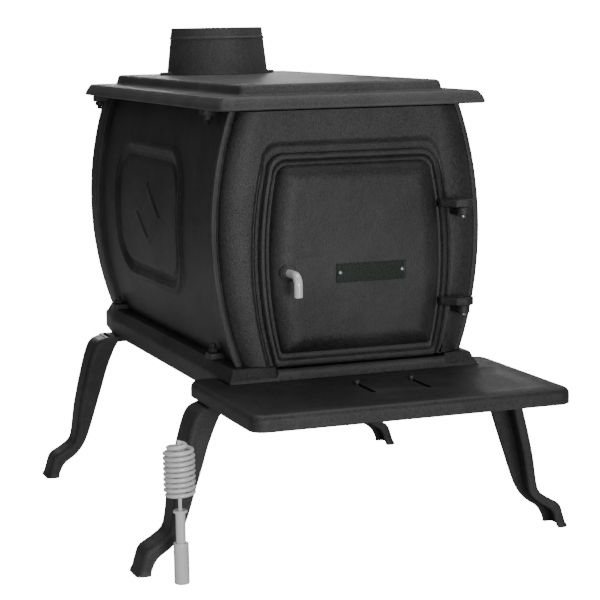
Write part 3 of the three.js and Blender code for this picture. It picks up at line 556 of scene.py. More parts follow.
# %% Front panel
FLANGE_Y, FACE_Y, CAST_WALL = 40.0, 20.0, 7.0
FLANGE_WIDTH, ROLL_WIDTH, ROLL_STEPS = 11.0, 38.0, 12
DOOR_LAP = 17.0
HINGE_X, HINGE_Y = DOOR_HALF + 14.0, -6.0
HINGE_RISES, EAR_THICK = (227.0, 77.0), 12.5
LUG_THICK, LUG_HALF = 12.2, 10
RIM_IN = 4.0
FLANGE = [(0.0, 0.0, CAST_WALL), (0.0, 0.0, 1.2), (0.5, 0.1, 0.4), (1.4, 0.2, 0.0), (7.6, 0.4, 0.0),
          (8.6, 0.5, 0.7), (9.4, 0.6, 1.6), (FLANGE_WIDTH, 0.7, 1.8)]
# The groove as (place past the door's edge, depth beside the door, depth above the door).
GROOVE = [(-13.0, 0.1, 0.2), (-11.4, 0.6, 0.7), (-10.0, 1.5, 1.5), (-8.8, 2.0, 2.4), (-7.6, 1.5, 3.2),
          (-6.6, 1.9, 3.7), (-5.8, 3.0, 3.9), (-4.8, 3.9, 4.0), (-2.4, 4.0, 4.0), (0.6, 4.0, 4.0),
          (1.2, 0.0, 0.0)]
GROOVE_TURN, GROOVE_BLEND = DOOR_TOP - 34.0, 26.0


def roll_outline(side, top, bottom, past_door):
    """An outline that follows the body's side, but stays clear of the door's."""
    def half_at(z):
        return max(body_half(z) - side, bowed(z, DOOR_HALF, DOOR_RADIUS, DOOR_CENTRE) + past_door - RIM_IN)

    return bowed_outline(half_at, BODY_BOTTOM + bottom, BODY_TOP - top, 2.0, 2.0)


def over_base(outline, least):
    """The outline with no point lower than a little over the body's bottom."""
    return [(x, max(z, BODY_BOTTOM + least)) for x, z in outline]


bm = bmesh.new()
loops = [front_loop(bm, body_outline(side, top, 0.0), FLANGE_Y + y) for side, top, y in FLANGE]
for i in range(ROLL_STEPS + 1):
    a = math.pi / 2 * i / ROLL_STEPS
    y = FLANGE_Y - (FLANGE_Y - FACE_Y) * math.sin(a)
    side = FLANGE_WIDTH + ROLL_WIDTH * max(1 - math.cos(a), 0.012)
    loops.append(front_loop(bm, roll_outline(side, 1.0 + 0.1 * i, 0.02 * i, 15.0 - 0.2 * i), y))
for i, (out, beside, above) in enumerate(GROOVE):
    outline = over_base(door_outline(RIM_IN + out, 1.5 * out, 1.5 * out), 0.4 + 0.05 * i)
    shares = [min(max((z - GROOVE_TURN) / GROOVE_BLEND, 0.0), 1.0) for x, z in outline]
    loops.append(loop(bm, [(x, FACE_Y + beside + (above - beside) * share, z)
                           for (x, z), share in zip(outline, shares)]))
loops += [front_loop(bm, door_outline(DOOR_LAP, DOOR_LAP, DOOR_LAP), y)
          for y in (FACE_Y, FACE_Y + CAST_WALL + 1)]
for i in range(ROLL_STEPS, -1, -2):
    a = math.pi / 2 * i / ROLL_STEPS
    y = FLANGE_Y + CAST_WALL - (FLANGE_Y - FACE_Y - 1) * math.sin(a)
    side = FLANGE_WIDTH + CAST_WALL + ROLL_WIDTH * (1 - math.cos(a))
    loops.append(front_loop(bm, roll_outline(side, CAST_WALL + 1.0, 3.0, 15.0), y))
skin(bm, loops + loops[:1])
for rise in HINGE_RISES:
    lug = bmesh.new()
    z0 = BODY_BOTTOM + rise - EAR_THICK
    outline = [(HINGE_X + LUG_HALF, FACE_Y + 4), (HINGE_X - LUG_HALF, FACE_Y + 4)]
    outline += arc(HINGE_X, HINGE_Y, LUG_HALF, 180, 360, 12)
    washer_prism(lug, outline, arc(HINGE_X, HINGE_Y, 4.3, 180, 540, 14)[:-1], z0, z0 + LUG_THICK)
    soften(lug, 1.4, 40)
    join(bm, lug)
piece("cast_front_panel", bm, "stove", cast_iron, "front_panel")

# %% [markdown]
# ## Door
# The door is one hollow casting: a half-round rim that lies over the edge of the opening, a narrow
# valley inside it, and a raised cushion whose broad rounded shoulders catch the light. Outlines are
# skinned from the rim inwards and the shell gets its wall by solidify. The two hinge ears and the
# latch's boss are added as solid parts of the same casting. Its middle is left plain.

# %% Door
DOOR_BACK_Y, DOOR_FACE_Y = FACE_Y - 0.3, -5.8
RIM_WIDTH = 18.8
RIM = [(0.0, DOOR_BACK_Y), (0.0, 14.8), (0.6, 12.9), (1.8, 11.6), (3.6, 10.9), (5.4, 11.1), (7.2, 10.7),
       (8.8, 11.3), (10.4, 13.2), (12.2, 15.0), (15.6, 15.5), (17.8, 15.2), (RIM_WIDTH, 13.8)]
CUSHION_SIDE, CUSHION_TOP, CUSHION_BOTTOM, CUSHION_ROLL = 19.0, 17.0, 19.0, 34.0
LATCH_X, LATCH_Z = 41.0 - DOOR_HALF, BODY_BOTTOM + 143.0
LATCH_AT = (LATCH_X, 0, LATCH_Z)
LATCH_ROD, LATCH_BOSS = 6.35, 13.0
PAWL_FRONT = depths("latch_pawl")[0]

DOOR_WALL, EAR_START, EAR_ROUND = 6.0, 134, 15.5


def rim_outline(d):
    """The rim's line at distance d inside its edge; it is narrower at the sides."""
    return door_outline(RIM_IN + d * (1 - RIM_IN / RIM_WIDTH), d, d * 1.12 - 2.2)


bm = bmesh.new()
loops = [front_loop(bm, rim_outline(d), y) for d, y in RIM]
for i in range(1, ROLL_STEPS + 1):
    a = math.pi / 2 * i / ROLL_STEPS
    out = CUSHION_ROLL * (1 - math.cos(a))
    y = RIM[-1][1] - (RIM[-1][1] - DOOR_FACE_Y) * math.sin(a)
    outline = door_outline(CUSHION_SIDE + out, CUSHION_TOP + 0.85 * out, CUSHION_BOTTOM + 0.8 * out)
    loops.append(front_loop(bm, outline, y))
skin(bm, loops)
cap(bm, loops[-1])
bmesh.ops.recalc_face_normals(bm, faces=bm.faces)
bm.normal_update()
if sum(f.normal.y * f.calc_area() for f in bm.faces) > 0:
    bmesh.ops.reverse_faces(bm, faces=bm.faces)
bmesh.ops.solidify(bm, geom=bm.faces[:], thickness=DOOR_WALL)

boss = bmesh.new()
turned(boss, [(LATCH_ROD + 0.5, DOOR_FACE_Y - 2), (LATCH_BOSS - 1, DOOR_FACE_Y - 2),
              (LATCH_BOSS, DOOR_FACE_Y - 1), (LATCH_BOSS, PAWL_FRONT - 0.3),
              (LATCH_ROD + 0.5, PAWL_FRONT - 0.3)], LATCH_AT, "Y", 32)
join(bm, boss)
for rise in HINGE_RISES:
    ear = bmesh.new()
    outline = [(EAR_START, 13), (EAR_START, 2), (HINGE_X - 16, HINGE_Y - 14)]
    outline += arc(HINGE_X, HINGE_Y, EAR_ROUND, -110, 45, 12) + [(HINGE_X - 16, 13)]
    hole = arc(HINGE_X, HINGE_Y, 4.5, 0, 360, 16)[:-1]
    washer_prism(ear, outline, hole, BODY_BOTTOM + rise, BODY_BOTTOM + rise + EAR_THICK)
    soften(ear, 2.4, 40, 3)
    join(bm, ear)
piece("cast_door", bm, "door_leaf", cast_iron, "door")

# %% [markdown]
# ## Hinge pins
# Each pin drops through the door's ear into a lug on the front panel. Its top lies a little below
# the ear's face, and its rounded tip shows under the lug. It is spun from its half section.

# %% Hinge pins
for node in ("upper_hinge_pin", "lower_hinge_pin"):
    low, high = heights(node)
    profile = [(AXIS, low), (1.6, low), (2.9, low + 0.4), (3.7, low + 1.2), (4.0, low + 2.4),
               (4.0, high - 0.6), (3.4, high), (AXIS, high)]
    turned_piece(f"turned_{node}", profile, (HINGE_X, HINGE_Y, 0), "Z", 32, "stove", zinc, node)

# %% [markdown]
# ## Latch
# The latch is a bent steel rod that passes through the door, with a washer under it. Its free end
# hangs down, and the loose handle's socket slips over it. A bent rod is quickest as a curve with a
# round bevel, which Blender turns into a mesh. The washer is turned.

# %% Latch lever and washer
LEVER_Y = DOOR_FACE_Y - 42.0
LEVER_BEND, LEVER_HANG = 14.0, 32.0


def bent_rod(points, radius, sides=8):
    """A bmesh tube along the points, each (x, y, z, share of the radius)."""
    curve = bpy.data.curves.new("rod", "CURVE")
    curve.dimensions = "3D"
    curve.bevel_depth = radius
    curve.bevel_resolution = sides
    curve.use_fill_caps = True
    line = curve.splines.new("POLY")
    line.points.add(len(points) - 1)
    for knot, (x, y, z, share) in zip(line.points, points):
        knot.co = (x, y, z, 1.0)
        knot.radius = share
    obj = bpy.data.objects.new("rod", curve)
    mesh = bpy.data.meshes.new_from_object(obj)
    tube = bmesh.new()
    tube.from_mesh(mesh)
    bpy.data.meshes.remove(mesh)
    bpy.data.objects.remove(obj)
    bpy.data.curves.remove(curve)
    return tube


bend = arc(LEVER_Y + LEVER_BEND, LATCH_Z - LEVER_BEND, LEVER_BEND, 90, 180, 12)
run = [(PAWL_FRONT + 15.0, LATCH_Z, 0.86), (PAWL_FRONT + 14.0, LATCH_Z, 1.0)] + [(y, z, 1.0) for y, z in bend]
end = LATCH_Z - LEVER_HANG
run += [(LEVER_Y, end + 2.4, 1.0), (LEVER_Y, end + 1.0, 0.95), (LEVER_Y, end + 0.2, 0.82), (LEVER_Y, end, 0.7)]
piece("bent_latch_lever", bent_rod([(LATCH_X, y, z, share) for y, z, share in run], LATCH_ROD), "latch",
      chrome, "latch_lever")

WASHER_Y = DOOR_FACE_Y - 2.3
profile = [(LATCH_ROD + 0.3, WASHER_Y), (LATCH_ROD + 0.3, WASHER_Y - 3), (10.6, WASHER_Y - 3),
           (11.5, WASHER_Y - 2.2), (11.5, WASHER_Y)]
turned_piece("turned_latch_washer", profile, LATCH_AT, "Y", 32, "door_leaf", dark_steel,
             "latch_washer")

# %% [markdown]
# ## Plate on the door
# A thin enamelled plate is riveted across the door's middle. Here it stays blank. Stacked outlines
# give it the crisp edge of pressed sheet, and its two domed rivet heads are turned.

# %% Plate and rivets
PLATE_SHIFT = {"left": -5.5, "right": -3.5, "low": 4.0, "high": 0.5, "rivets": -4.5}
PLATE_EDGE = [(0.0, 0.0), (0.0, -0.8), (0.4, -1.2), (2.2, -1.2), (2.5, -1.0), (3.1, -1.0), (3.4, -1.2)]
low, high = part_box("door_plate")
px0, px1 = low.x / MM + PLATE_SHIFT["left"], high.x / MM + PLATE_SHIFT["right"]
pz0, pz1 = low.z / MM + PLATE_SHIFT["low"], high.z / MM + PLATE_SHIFT["high"]
plate_back = depths("door_plate")[1]
bm = bmesh.new()
closed_skin(bm, [front_loop(bm, rounded_rect(px0 + d, px1 - d, pz0 + d, pz1 - d, max(3.0 - d, 0.8)),
                                  plate_back + y) for d, y in PLATE_EDGE])
piece("blank_door_plate", bm, "door_leaf", enamel, "door_plate")

for node in ("left_plate_rivet", "right_plate_rivet"):
    low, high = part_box(node)
    front, back = depths(node)
    middle = ((low.x + high.x) / 2 / MM + PLATE_SHIFT["rivets"], 0, (pz0 + pz1) / 2)
    profile = [(AXIS, back), (3.2, back), (3.1, back - 0.6), (2.4, front + 0.4), (1.3, front + 0.1),
               (AXIS, front)]
    turned_piece(f"domed_{node}", profile, middle, "Y", 24, "door_leaf", zinc, node)

# %% [markdown]
# ## Side panels
# A side panel is a thin bowed sheet of iron with a raised moulding: a rounded frame that slopes
# down in a cove to a flat field, where a plain lozenge sits. A dense grid is bent to the body's bow
# and pushed out by the distance to the frame's outline, which is how a carved pattern is drawn by
# rule and template. Solidify adds the wall, and the bolt lugs are joined on.

# %% Side panels
SIDE_INSET = 8.0
FRAME_Y, FRAME_Z = BACK_FACE - 360.0, BODY_BOTTOM + 198.0
FRAME_LENGTH, FRAME_HEIGHT, FRAME_CORNER = 384.0, 232.0, 76.0
FRAME_SECTION = [(-30.5, 0.4), (-29.0, 0.4), (-26.0, -2.6), (-23.5, -2.8), (-18.0, -1.2), (-11.0, 1.8),
                 (-5.5, 4.2), (-2.5, 4.8), (0.0, 4.2), (2.5, 1.6), (5.0, 0.2), (7.0, 0.0)]
REAR_RISE = [(-12.0, 0.0), (-7.0, 1.2), (-3.5, 4.6), (-1.5, 6.0), (0.0, 6.2)]
LOZENGE_LONG, LOZENGE_HIGH = 74.0, 52.0
LOZENGE_SECTION = [(-9.0, 0.0), (-5.0, 1.6), (-2.0, 1.6), (2.0, 0.0)]
GRID_LONG, GRID_HIGH = 240, 180
SIDE_FRONT = FLANGE_Y + CAST_WALL + 0.3
SIDE_BACK = WRAP_EDGE - 0.3
LUG_WIDE, LUG_HIGH = 26.0, 10.0


def profile_at(section, at):
    """Height of a section line of (place, height) at a place, smoothly between its points."""
    if at <= section[0][0]:
        return section[0][1]
    for (a, low), (b, high) in zip(section, section[1:]):
        if at <= b:
            t = (at - a) / (b - a)
            return low + (high - low) * t * t * (3 - 2 * t)
    return section[-1][1]


def outside_rounded_rect(u, v, half_u, half_v, corner):
    """Distance outside a rounded rectangle; less than 0 inside it."""
    du, dv = abs(u) - half_u + corner, abs(v) - half_v + corner
    return math.hypot(max(du, 0), max(dv, 0)) + min(max(du, dv), 0) - corner


def frame_relief(y, z):
    u, v = y - FRAME_Y, z - FRAME_Z
    out = outside_rounded_rect(u, v, FRAME_LENGTH / 2, FRAME_HEIGHT / 2, FRAME_CORNER)
    lozenge = (abs(u) / LOZENGE_LONG + abs(v) / LOZENGE_HIGH - 1) * 30.0
    return (profile_at(FRAME_SECTION, out) + profile_at(LOZENGE_SECTION, lozenge)
            + profile_at(REAR_RISE, y - SIDE_BACK))


def corner_lug(x0, x1, y, z0, bolt_x):
    """A lug from x0 to x1 with a bolt hole through it."""
    block = bmesh.new()
    outline = rounded_rect(min(x0, x1), max(x0, x1), y - LUG_WIDE / 2, y + LUG_WIDE / 2, 5.0, 4)
    washer_prism(block, outline, bolt_hole(bolt_x, y), z0, z0 + LUG_HIGH)
    soften(block, 1.4, 40)
    return block


LUG_TOP_Z, LUG_BASE_Z = BODY_TOP - LUG_HIGH, BODY_BOTTOM
for side, sign in (("left", -1), ("right", 1)):
    bm = bmesh.new()
    bmesh.ops.create_grid(bm, x_segments=GRID_LONG, y_segments=GRID_HIGH, size=0.5)
    for v in bm.verts:
        y = SIDE_FRONT + (SIDE_BACK - SIDE_FRONT) * (v.co.x + 0.5)
        z = BODY_BOTTOM + (BODY_TOP - BODY_BOTTOM) * (v.co.y + 0.5)
        v.co = (sign * (body_half(z) - SIDE_INSET + frame_relief(y, z)), y, z)
    bm.normal_update()
    if sum(f.normal.x for f in bm.faces) * sign < 0:
        bmesh.ops.reverse_faces(bm, faces=bm.faces)
    bmesh.ops.solidify(bm, geom=bm.faces[:], thickness=CAST_WALL)
    for node, z0 in ((f"front_{side}_top_bolt", LUG_TOP_Z), (f"front_{side}_base_bolt", LUG_BASE_Z),
                     (f"rear_{side}_base_bolt", LUG_BASE_Z)):
        x, y = place_of(node)
        join(bm, corner_lug(x - sign * 20.0, x + sign * 10.0, y, z0, x))
    piece(f"cast_{side}_side_panel", bm, "stove", cast_iron, f"{side}_side_panel")

# %% [markdown]
# ## Back panel
# The back is a shallow tray on its side: a flat wall whose rounded edges wrap a little way round
# the body's sides. The same plan outline, outside and inside, is stacked up the height of the body
# with the bow's half width at each level.

# %% Back panel
BACK_ROUND, BACK_LEVELS = 16.0, 16


def back_plan(half):
    """Plan of the back panel's wall at one level, as a closed loop of (x, y)."""
    outer = [(half - inset, WRAP_EDGE + rise) for inset, rise in
             ((1.2, 0.0), (0.0, 1.2), (0.0, 7.0), (0.9, 8.0), (0.9, 10.0), (0.0, 11.0))]
    outer += arc(half - BACK_ROUND, BACK_FACE - BACK_ROUND, BACK_ROUND, 0, 90, 8)
    inner = [(half - CAST_WALL, WRAP_EDGE)]
    inner += arc(half - BACK_ROUND, BACK_FACE - BACK_ROUND, BACK_ROUND - CAST_WALL, 0, 90, 8)
    return (outer + [(-x, y) for x, y in reversed(outer)]
            + [(-x, y) for x, y in inner] + list(reversed(inner)))


bm = bmesh.new()
levels = [BODY_BOTTOM + (BODY_TOP - BODY_BOTTOM) * i / BACK_LEVELS for i in range(BACK_LEVELS + 1)]
closed_skin(bm, [ring(bm, back_plan(body_half(z)), z) for z in levels])
for side, sign in (("left", -1), ("right", 1)):
    x, y = place_of(f"rear_{side}_top_bolt")
    join(bm, corner_lug(x - sign * 19.0, x + sign * 10.0, y, LUG_TOP_Z, x))
piece("cast_back_panel", bm, "stove", cast_iron, "back_panel")

# %% [markdown]
# ## Base plate
# The base plate is a shallow tray. Its rail is a broad rounded band that slopes up to the flat the
# panels stand on, and inside it lies the ash well with the draft port in its floor. Plan outlines
# are stacked up the outside and down into the well. The floor is filled round the port by
# Blender's triangle fill, which leaves a hole where a second loop lies. Under the door the front
# edge is cut down to a lower rounded sill.

# %% Base plate
BASE_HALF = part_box("base_plate")[1].x / MM
WELL_FLOOR = BASE_UNDER + 9.0
PORT = [(-55.0, 70.0), (55.0, 70.0), (55.0, 100.0), (-55.0, 100.0)]
SILL_LEFT, SILL_RIGHT = -127.0, 150.0
SILL_TOP = 41.5
# For each height of the rail: how far in and how high the sill's line lies.
SILL = {27.6: (0.2, 27.8), 30.0: (0.3, 31.0), 32.6: (0.5, 34.6), 42.0: (1.4, 38.2), 44.3: (3.6, 40.8),
        45.0: (7.5, SILL_TOP)}
RAIL = [(1.5, 0.0), (0.3, 0.6), (0.0, 2.0), (0.0, 24.5), (0.5, 27.6), (1.8, 30.0), (4.0, 32.6), (8.2, 42.0),
        (9.6, 44.3), (11.6, 45.0)]


def base_plan(inset, front=0.0):
    x, back, start = BASE_HALF - inset, BASE_BACK - inset, BASE_BACK - 100.0
    near = BASE_FRONT + inset + front
    corner = max(5.0 - inset * 0.3, 1.5)
    return (arc(x - corner, near + corner, corner, -90, 0, 4)
            + [(x, start), (x - 14, back), (14 - x, back), (-x, start)]
            + arc(corner - x, near + corner, corner, 180, 270, 4))


bm = bmesh.new()
loops = [ring(bm, base_plan(inset), BASE_UNDER + rise) for inset, rise in RAIL]
loops += [ring(bm, base_plan(inset, 13.0), z)
          for inset, z in ((37.0, BASE_TOP), (38.0, BASE_TOP - 1.0), (38.0, WELL_FLOOR + 3.0),
                           (41.0, WELL_FLOOR))]
skin(bm, loops)
for x in (SILL_LEFT, SILL_LEFT + 2, SILL_RIGHT - 2, SILL_RIGHT):
    everything = bm.verts[:] + bm.edges[:] + bm.faces[:]
    bmesh.ops.bisect_plane(bm, geom=everything, plane_co=(x, 0, 0), plane_no=(1, 0, 0))
for v in bm.verts:
    if SILL_LEFT + 1 < v.co.x < SILL_RIGHT - 1 and v.co.y < BASE_FRONT + 60:
        rise = round(v.co.z - BASE_UNDER, 1)
        if v.co.y > BASE_FRONT + 20:
            v.co.z = min(v.co.z, BASE_UNDER + SILL_TOP - (1.0 if rise == 44.0 else 0.0))
        elif rise in SILL:
            v.co.y, v.co.z = BASE_FRONT + SILL[rise][0], BASE_UNDER + SILL[rise][1]
port_top = loop(bm, [(x, y, WELL_FLOOR) for x, y in PORT])
port_under = loop(bm, [(x, y, BASE_UNDER) for x, y in PORT])
skin(bm, [port_top, port_under])
for z, port in ((WELL_FLOOR, port_top), (BASE_UNDER, port_under)):
    rim = [e for e in bm.edges if e.is_boundary and e not in port and abs(e.verts[0].co.z - z) < 0.01]
    bmesh.ops.triangle_fill(bm, use_beauty=True, edges=rim + port)
piece("cast_base_plate", bm, "stove", cast_iron, "base_plate")

# %% [markdown]
# ## Hearth
# The hearth catches embers in front of the door. Its rim is well rounded, its floor is dished, and
# two slots let the draft slide's knobs travel. Two short arms clasp the front of the base plate.
# The outline is stacked like the base plate's, with the dish and the slots as loops inside it. The
# slots widen under the floor, as cored holes do, so that no light wall shows in them.

# %% Hearth
HEARTH_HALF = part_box("hearth")[1].x / MM
NOTCH_X, NOTCH_Y = BASE_HALF + 0.3, BASE_FRONT - 0.3
HEARTH_EDGE = [(2.0, 0.0), (0.5, 0.6), (0.0, 2.2), (0.0, 14.5), (0.7, 18.0), (2.6, 21.2), (5.6, 23.3),
               (9.5, 24.0)]
DISH_DEEP = 3.0
DISH = [(26.0, 0.0), (28.5, -0.2), (33.0, -0.8), (40.0, -2.0), (46.0, -2.8), (50.0, -DISH_DEEP),
        (52.0, -DISH_DEEP)]
SLOT_XS, SLOT_BACK, SLOT_LONG, SLOT_WIDE = (-22.0, 66.0), -36.0, 76.0, 7.0


def hearth_plan(inset):
    """The hearth's outline in plan; its notch keeps its place while the rest moves in."""
    x, front, back, corner = HEARTH_HALF - inset, HEARTH_FRONT + inset, HEARTH_BACK - inset, 22.0 - inset
    notch_x, notch_y = NOTCH_X + min(inset, 1.2), NOTCH_Y - min(inset, 1.2)
    half = arc(x - corner, front + corner, corner, -90, 0, 8)
    half += arc(x - corner, back - corner, corner, 0, 90, 8) + [(notch_x, back), (notch_x, notch_y)]
    return half + [(-u, v) for u, v in reversed(half)]


def dish_plan(inset):
    x = HEARTH_HALF - inset
    return rounded_rect(-x, x, HEARTH_FRONT + inset, BASE_FRONT - inset, 22.0, 8)


bm = bmesh.new()
edge = [ring(bm, hearth_plan(inset), BASE_UNDER + rise) for inset, rise in HEARTH_EDGE]
dish = [ring(bm, dish_plan(inset), HEARTH_TOP + rise) for inset, rise in DISH]
skin(bm, edge)
skin(bm, dish)
slots = []
for x in SLOT_XS:
    front = SLOT_BACK - SLOT_LONG
    narrow = rounded_rect(x - SLOT_WIDE / 2, x + SLOT_WIDE / 2, front, SLOT_BACK, SLOT_WIDE * 0.45, 4)
    wide = rounded_rect(x - SLOT_WIDE, x + SLOT_WIDE, front - 3, SLOT_BACK + 3, SLOT_WIDE * 0.9, 4)
    slots.append([ring(bm, line, z) for line, z in
                  ((narrow, HEARTH_TOP - DISH_DEEP), (narrow, HEARTH_TOP - 5.0), (wide, HEARTH_TOP - 6.0),
                   (wide, BASE_UNDER))])
    skin(bm, slots[-1])
bmesh.ops.triangle_fill(bm, use_beauty=True, edges=edge[-1] + dish[0])
bmesh.ops.triangle_fill(bm, use_beauty=True, edges=dish[-1] + slots[0][0] + slots[1][0])
bmesh.ops.triangle_fill(bm, use_beauty=True, edges=edge[0] + slots[0][-1] + slots[1][-1])
piece("cast_hearth", bm, "stove", cast_iron, "hearth")

# %% [markdown]
# ## Legs
# Each leg is an open gutter of iron: a curved outer web with rounded corners, a deep wing on one
# side and a short one on the other. It flares out and down to a flat sole with a small lip. Its
# cross-section is carried down two lines, the outside and the inside of the curve, as a founder
# would loft it.

# %% Legs
LEG_TOP = heights("front_left_leg")[1]
# The two lines, as (distance out from the leg's bolt, share of the way down).
LEG_OUTER = [(58, 0), (80, 0.036), (92, 0.129), (106, 0.337), (116, 0.518), (122, 0.679), (128, 0.751),
             (144, 0.8), (163, 0.847), (171, 0.928), (176.5, 1)]
LEG_INNER = [(28, 0), (44, 0.056), (62, 0.217), (73, 0.357), (86, 0.518), (97, 0.655), (108, 0.759),
             (123, 0.835), (144, 0.896), (153, 0.956), (156, 1)]
LEG_STATIONS = 44
LEG_HALF_TOP, LEG_HALF_FOOT = 30.0, 25.0
CORNER_ROUND, SHORT_WING = 9.0, 17.0
LIP, LIP_FROM = 1.3, 0.965


def smooth_line(points, steps):
    """Points at even steps on a Catmull-Rom curve through (distance, share of the drop)."""
    knots = [Vector(p) for p in points]
    knots = [knots[0] * 2 - knots[1]] + knots + [knots[-1] * 2 - knots[-2]]
    line = []
    for i in range(steps + 1):
        at = (len(points) - 1) * i / steps
        k = min(int(at), len(points) - 2)
        t = at - k
        a, b, c, d = knots[k:k + 4]
        p = 0.5 * (2 * b + (c - a) * t + (2 * a - 5 * b + 4 * c - d) * t * t + (3 * b - a - 3 * c + d) * t ** 3)
        line.append(Vector((p.x, LEG_TOP * (1 - p.y))))
    return line


def leg_section(outside, inside, half, lip):
    """One cross-section: across is from the outer web inwards, y from the short wing to the deep one."""
    wall, r = CAST_WALL, CORNER_ROUND
    reach = (inside - outside).length
    flat = arc(r, r - half, r, 180, 270, 8)
    flat += [(SHORT_WING - 2.0, -half), (SHORT_WING, 2.0 - half), (SHORT_WING, wall - half - 2.0),
             (SHORT_WING - 2.0, wall - half)]
    flat += [(wall + 4.0, wall - half), (wall + 1.2, wall - half + 1.2), (wall, wall - half + 4.0)]
    flat += [(wall, half - wall - 4.0), (wall + 1.2, half - wall - 1.2), (wall + 4.0, half - wall)]
    flat += [(reach - 2.0, half - wall), (reach, half - wall + 2.0), (reach, half - 2.0), (reach - 2.0, half)]
    flat += arc(r, half - r, r, 90, 180, 8)
    across = (inside - outside) / reach
    points = []
    for s, y in flat:
        p = outside + across * s
        out = Vector((-across.x, -across.y)) * lip if s < wall - 1 else Vector((0, 0))
        points.append((p.x + out.x, y * (1 + lip / half), p.y + out.y))
    return points


def leg_mesh():
    bm = bmesh.new()
    outer, inner = smooth_line(LEG_OUTER, LEG_STATIONS), smooth_line(LEG_INNER, LEG_STATIONS)
    loops = []
    for i, (a, b) in enumerate(zip(outer, inner)):
        half = LEG_HALF_TOP + (LEG_HALF_FOOT - LEG_HALF_TOP) * (1 - (a.y + b.y) / 2 / LEG_TOP)
        lip = LIP if i / LEG_STATIONS > LIP_FROM else 0.0
        loops.append(loop(bm, leg_section(a, b, half, lip)))
    closed_skin(bm, loops)
    pad = bmesh.new()
    outline = rounded_rect(-LEG_HALF_TOP, 62.0, -LEG_HALF_TOP, LEG_HALF_TOP, 3.0, 3)
    washer_prism(pad, outline, bolt_hole(0, 0), LEG_TOP - 9.0, LEG_TOP)
    soften(pad, 1.2, 40)
    join(bm, pad)
    return bm


for end in ("front", "rear"):
    for side, turn in (("left", math.pi), ("right", 0.0)):
        x, y = place_of(f"{end}_{side}_leg_bolt")
        bm = leg_mesh()
        place = Matrix.Translation((x, y, 0)) @ Matrix.Rotation(turn, 4, "Z")
        bmesh.ops.transform(bm, matrix=place, verts=bm.verts)
        piece(f"cast_{end}_{side}_leg", bm, "stove", leg_iron_painted_light, f"{end}_{side}_leg")

# %% [markdown]
# ## Bolts and nuts
# The body is held together by plain hexagon bolts through the corner lugs. A nut is stacked from
# hexagons, the outer two a little smaller, which chamfers its edges. Its bolt's thread is drawn as
# small steps, since no turn of it can be followed at this size. One function makes them all.

# %% Bolts and nuts
BOLT_RADIUS, NUT_HIGH, BOLT_TAIL, THREAD = 4.5, 7.0, 6.0, 1.6


def hex_bolt(node, nut_z):
    """A bolt from the node's foot to its top, with a nut or head from nut_z upwards."""
    low, high = heights(node)
    x, y = place_of(node)
    radius = (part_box(node)[1].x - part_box(node)[0].x) / 2 / MM
    bm = bmesh.new()
    closed_skin(bm, [ring(bm, arc(x, y, r, 0, 360, 6)[:-1], z) for r, z in
                     ((radius * 0.86, nut_z), (radius, nut_z + 1.1), (radius, nut_z + NUT_HIGH - 1.1),
                      (radius * 0.86, nut_z + NUT_HIGH))])
    shank = bmesh.new()
    profile = [(AXIS, low), (BOLT_RADIUS - 0.8, low), (BOLT_RADIUS, low + 0.8)]
    z = low + 0.8
    while z + THREAD < high - 0.8 and z < low + 9.0:
        profile += [(BOLT_RADIUS - 0.55, z + THREAD / 2), (BOLT_RADIUS, z + THREAD)]
        z += THREAD
    profile += [(BOLT_RADIUS, high - 0.8), (BOLT_RADIUS - 0.8, high), (AXIS, high)]
    turned(shank, profile, (x, y, 0), "Z", 20)
    join(bm, shank)
    piece(f"hex_{node}", bm, "stove", zinc if "leg_bolt" in node else dark_bolt, node)


for corner in ("front_left", "front_right", "rear_left", "rear_right"):
    hex_bolt(f"{corner}_top_bolt", heights(f"{corner}_top_bolt")[0] + BOLT_TAIL)
    hex_bolt(f"{corner}_base_bolt", heights(f"{corner}_base_bolt")[1] - BOLT_TAIL - NUT_HIGH)
    hex_bolt(f"{corner}_leg_bolt", heights(f"{corner}_leg_bolt")[0])
for side in ("left", "right"):
    node = f"{side}_collar_bolt"
    low, high = heights(node)
    profile = [(AXIS, low), (4.2, low), (4.5, low + 0.3), (4.5, high - 0.5), (4.1, high), (2.4, high),
               (1.9, high - 1.6), (AXIS, high - 1.6)]
    turned_piece(f"flush_{side}_collar_screw", profile, (*place_of(node), 0), "Z", 32, "stove", dark_bolt, node)

# %% [markdown]
# ## Draft knobs
# Two small turned knobs stand up through the hearth's slots. They are screwed to the draft slide
# underneath, so they ride on the slide's body. Each is spun from its half section, as on a lathe.

# %% Draft knobs
for node in ("left_draft_knob", "right_draft_knob"):
    low, high = heights(node)
    profile = [(AXIS, low), (2.8, low), (2.8, high - 6.0), (4.2, high - 6.0), (5.0, high - 5.2),
               (5.0, high - 1.8), (4.4, high - 0.6), (3.0, high), (AXIS, high)]
    turned_piece(f"turned_{node}", profile, (*place_of(node), 0), "Z", 32, "draft", dark_steel,
                 node)

# %% [markdown]
# ## Loose spring handle
# A stove's latch gets too hot to touch, so its handle is a separate tool: a steel rod with a socket
# at one end and an open coil of wire to hold at the other. The wire starts on the core, runs round
# the coil and closes in a dome at the top. Its line is worked out turn by turn, and the bevelled
# curve makes the wire.

# %% Loose spring handle
HANDLE_X, HANDLE_Y = place_of("handle_socket")
COIL_LOW, COIL_HIGH = heights("handle_coil")
WIRE, CORE = 3.0, 2.8
COIL_RADIUS = 20.6
COIL_TURNS, IN_TURNS, DOME_TURNS = 10.2, 0.7, 1.7
PITCH = (COIL_HIGH - COIL_LOW - 2 * WIRE) / COIL_TURNS
COIL_STEPS = 480
SOCKET_BORE, SOCKET_DEEP, SHANK_TOP = 7.3, 45.0, 105.0


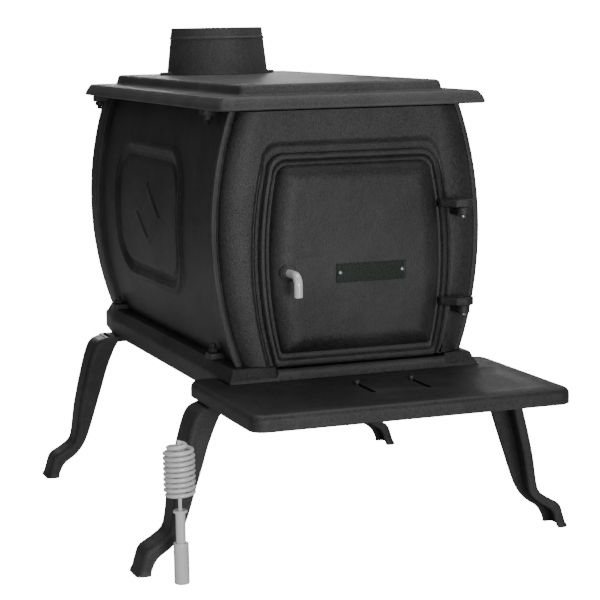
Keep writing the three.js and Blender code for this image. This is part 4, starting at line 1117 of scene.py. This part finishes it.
def coil_point(turn):
    """A point of the wire's centre line after so many turns."""
    least = CORE + WIRE + 0.6
    grow = min(1.0, turn / IN_TURNS, (COIL_TURNS - turn) / DOME_TURNS)
    r = least + (COIL_RADIUS - least) * math.sin(math.pi / 2 * max(grow, 0.0))
    a = math.tau * turn
    return HANDLE_X + r * math.cos(a), HANDLE_Y + r * math.sin(a), COIL_LOW + WIRE + PITCH * turn, 1.0


wire = [coil_point(COIL_TURNS * i / COIL_STEPS) for i in range(COIL_STEPS + 1)]
piece("wound_handle_coil", bent_rod(wire, WIRE, 4), "loose_handle", chrome, "handle_coil")

high = heights("handle_socket")[1]
rod_low, rod_high = heights("handle_rod")
under, over = heights("handle_washer")
TURNED_PARTS = {
    "handle_socket": (48, [(SOCKET_BORE, 0.0), (10.6, 0.0), (11.3, 0.8), (11.3, high - 1.2), (10.4, high),
                           (AXIS, high), (AXIS, SOCKET_DEEP), (SOCKET_BORE, SOCKET_DEEP)]),
    "handle_rod": (32, [(AXIS, rod_low), (7.2, rod_low), (7.2, SHANK_TOP - 0.8), (6.6, SHANK_TOP),
                        (CORE, SHANK_TOP), (CORE, rod_high - 0.6), (2.2, rod_high), (AXIS, rod_high)]),
    "handle_washer": (32, [(CORE + 0.3, under), (9.9, under), (10.5, under + 0.6), (10.5, over - 0.6),
                           (9.9, over), (CORE + 0.3, over)]),
}
for node, (steps, profile) in TURNED_PARTS.items():
    turned_piece(f"turned_{node}", profile, (HANDLE_X, HANDLE_Y, 0), "Z", steps, "loose_handle", chrome, node)

# %% [markdown]
# ## Parts kept from the frame
# The grate, the draft slide with its straps, and the pawl with its nut are plain bars and plates,
# and their CAD shapes are right. They keep their meshes and get plain metal finishes. A small live
# bevel takes the sharpness off their edges.

# %% Parts kept from the frame
KEPT = {"fire_grate": (bare_iron, 0.0012), "draft_slide": (bare_iron, 0.0006),
        "front_slide_strap": (bare_iron, 0.0006), "rear_slide_strap": (bare_iron, 0.0006),
        "latch_pawl": (bare_iron, 0.0008), "latch_nut": (zinc, 0.0006)}
KEPT_WELD = 0.00002
for node, (look, radius) in KEPT.items():
    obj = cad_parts[node]
    obj.data.materials.clear()
    obj.data.materials.append(look[0])
    obj.modifiers.new("weld", "WELD").merge_threshold = KEPT_WELD
    rounding = obj.modifiers.new("small radius", "BEVEL")
    rounding.width = radius
    rounding.segments = 2
    rounding.limit_method = "ANGLE"
    rounding.angle_limit = math.radians(40)
    print(node, "kept, with", look[0].name)
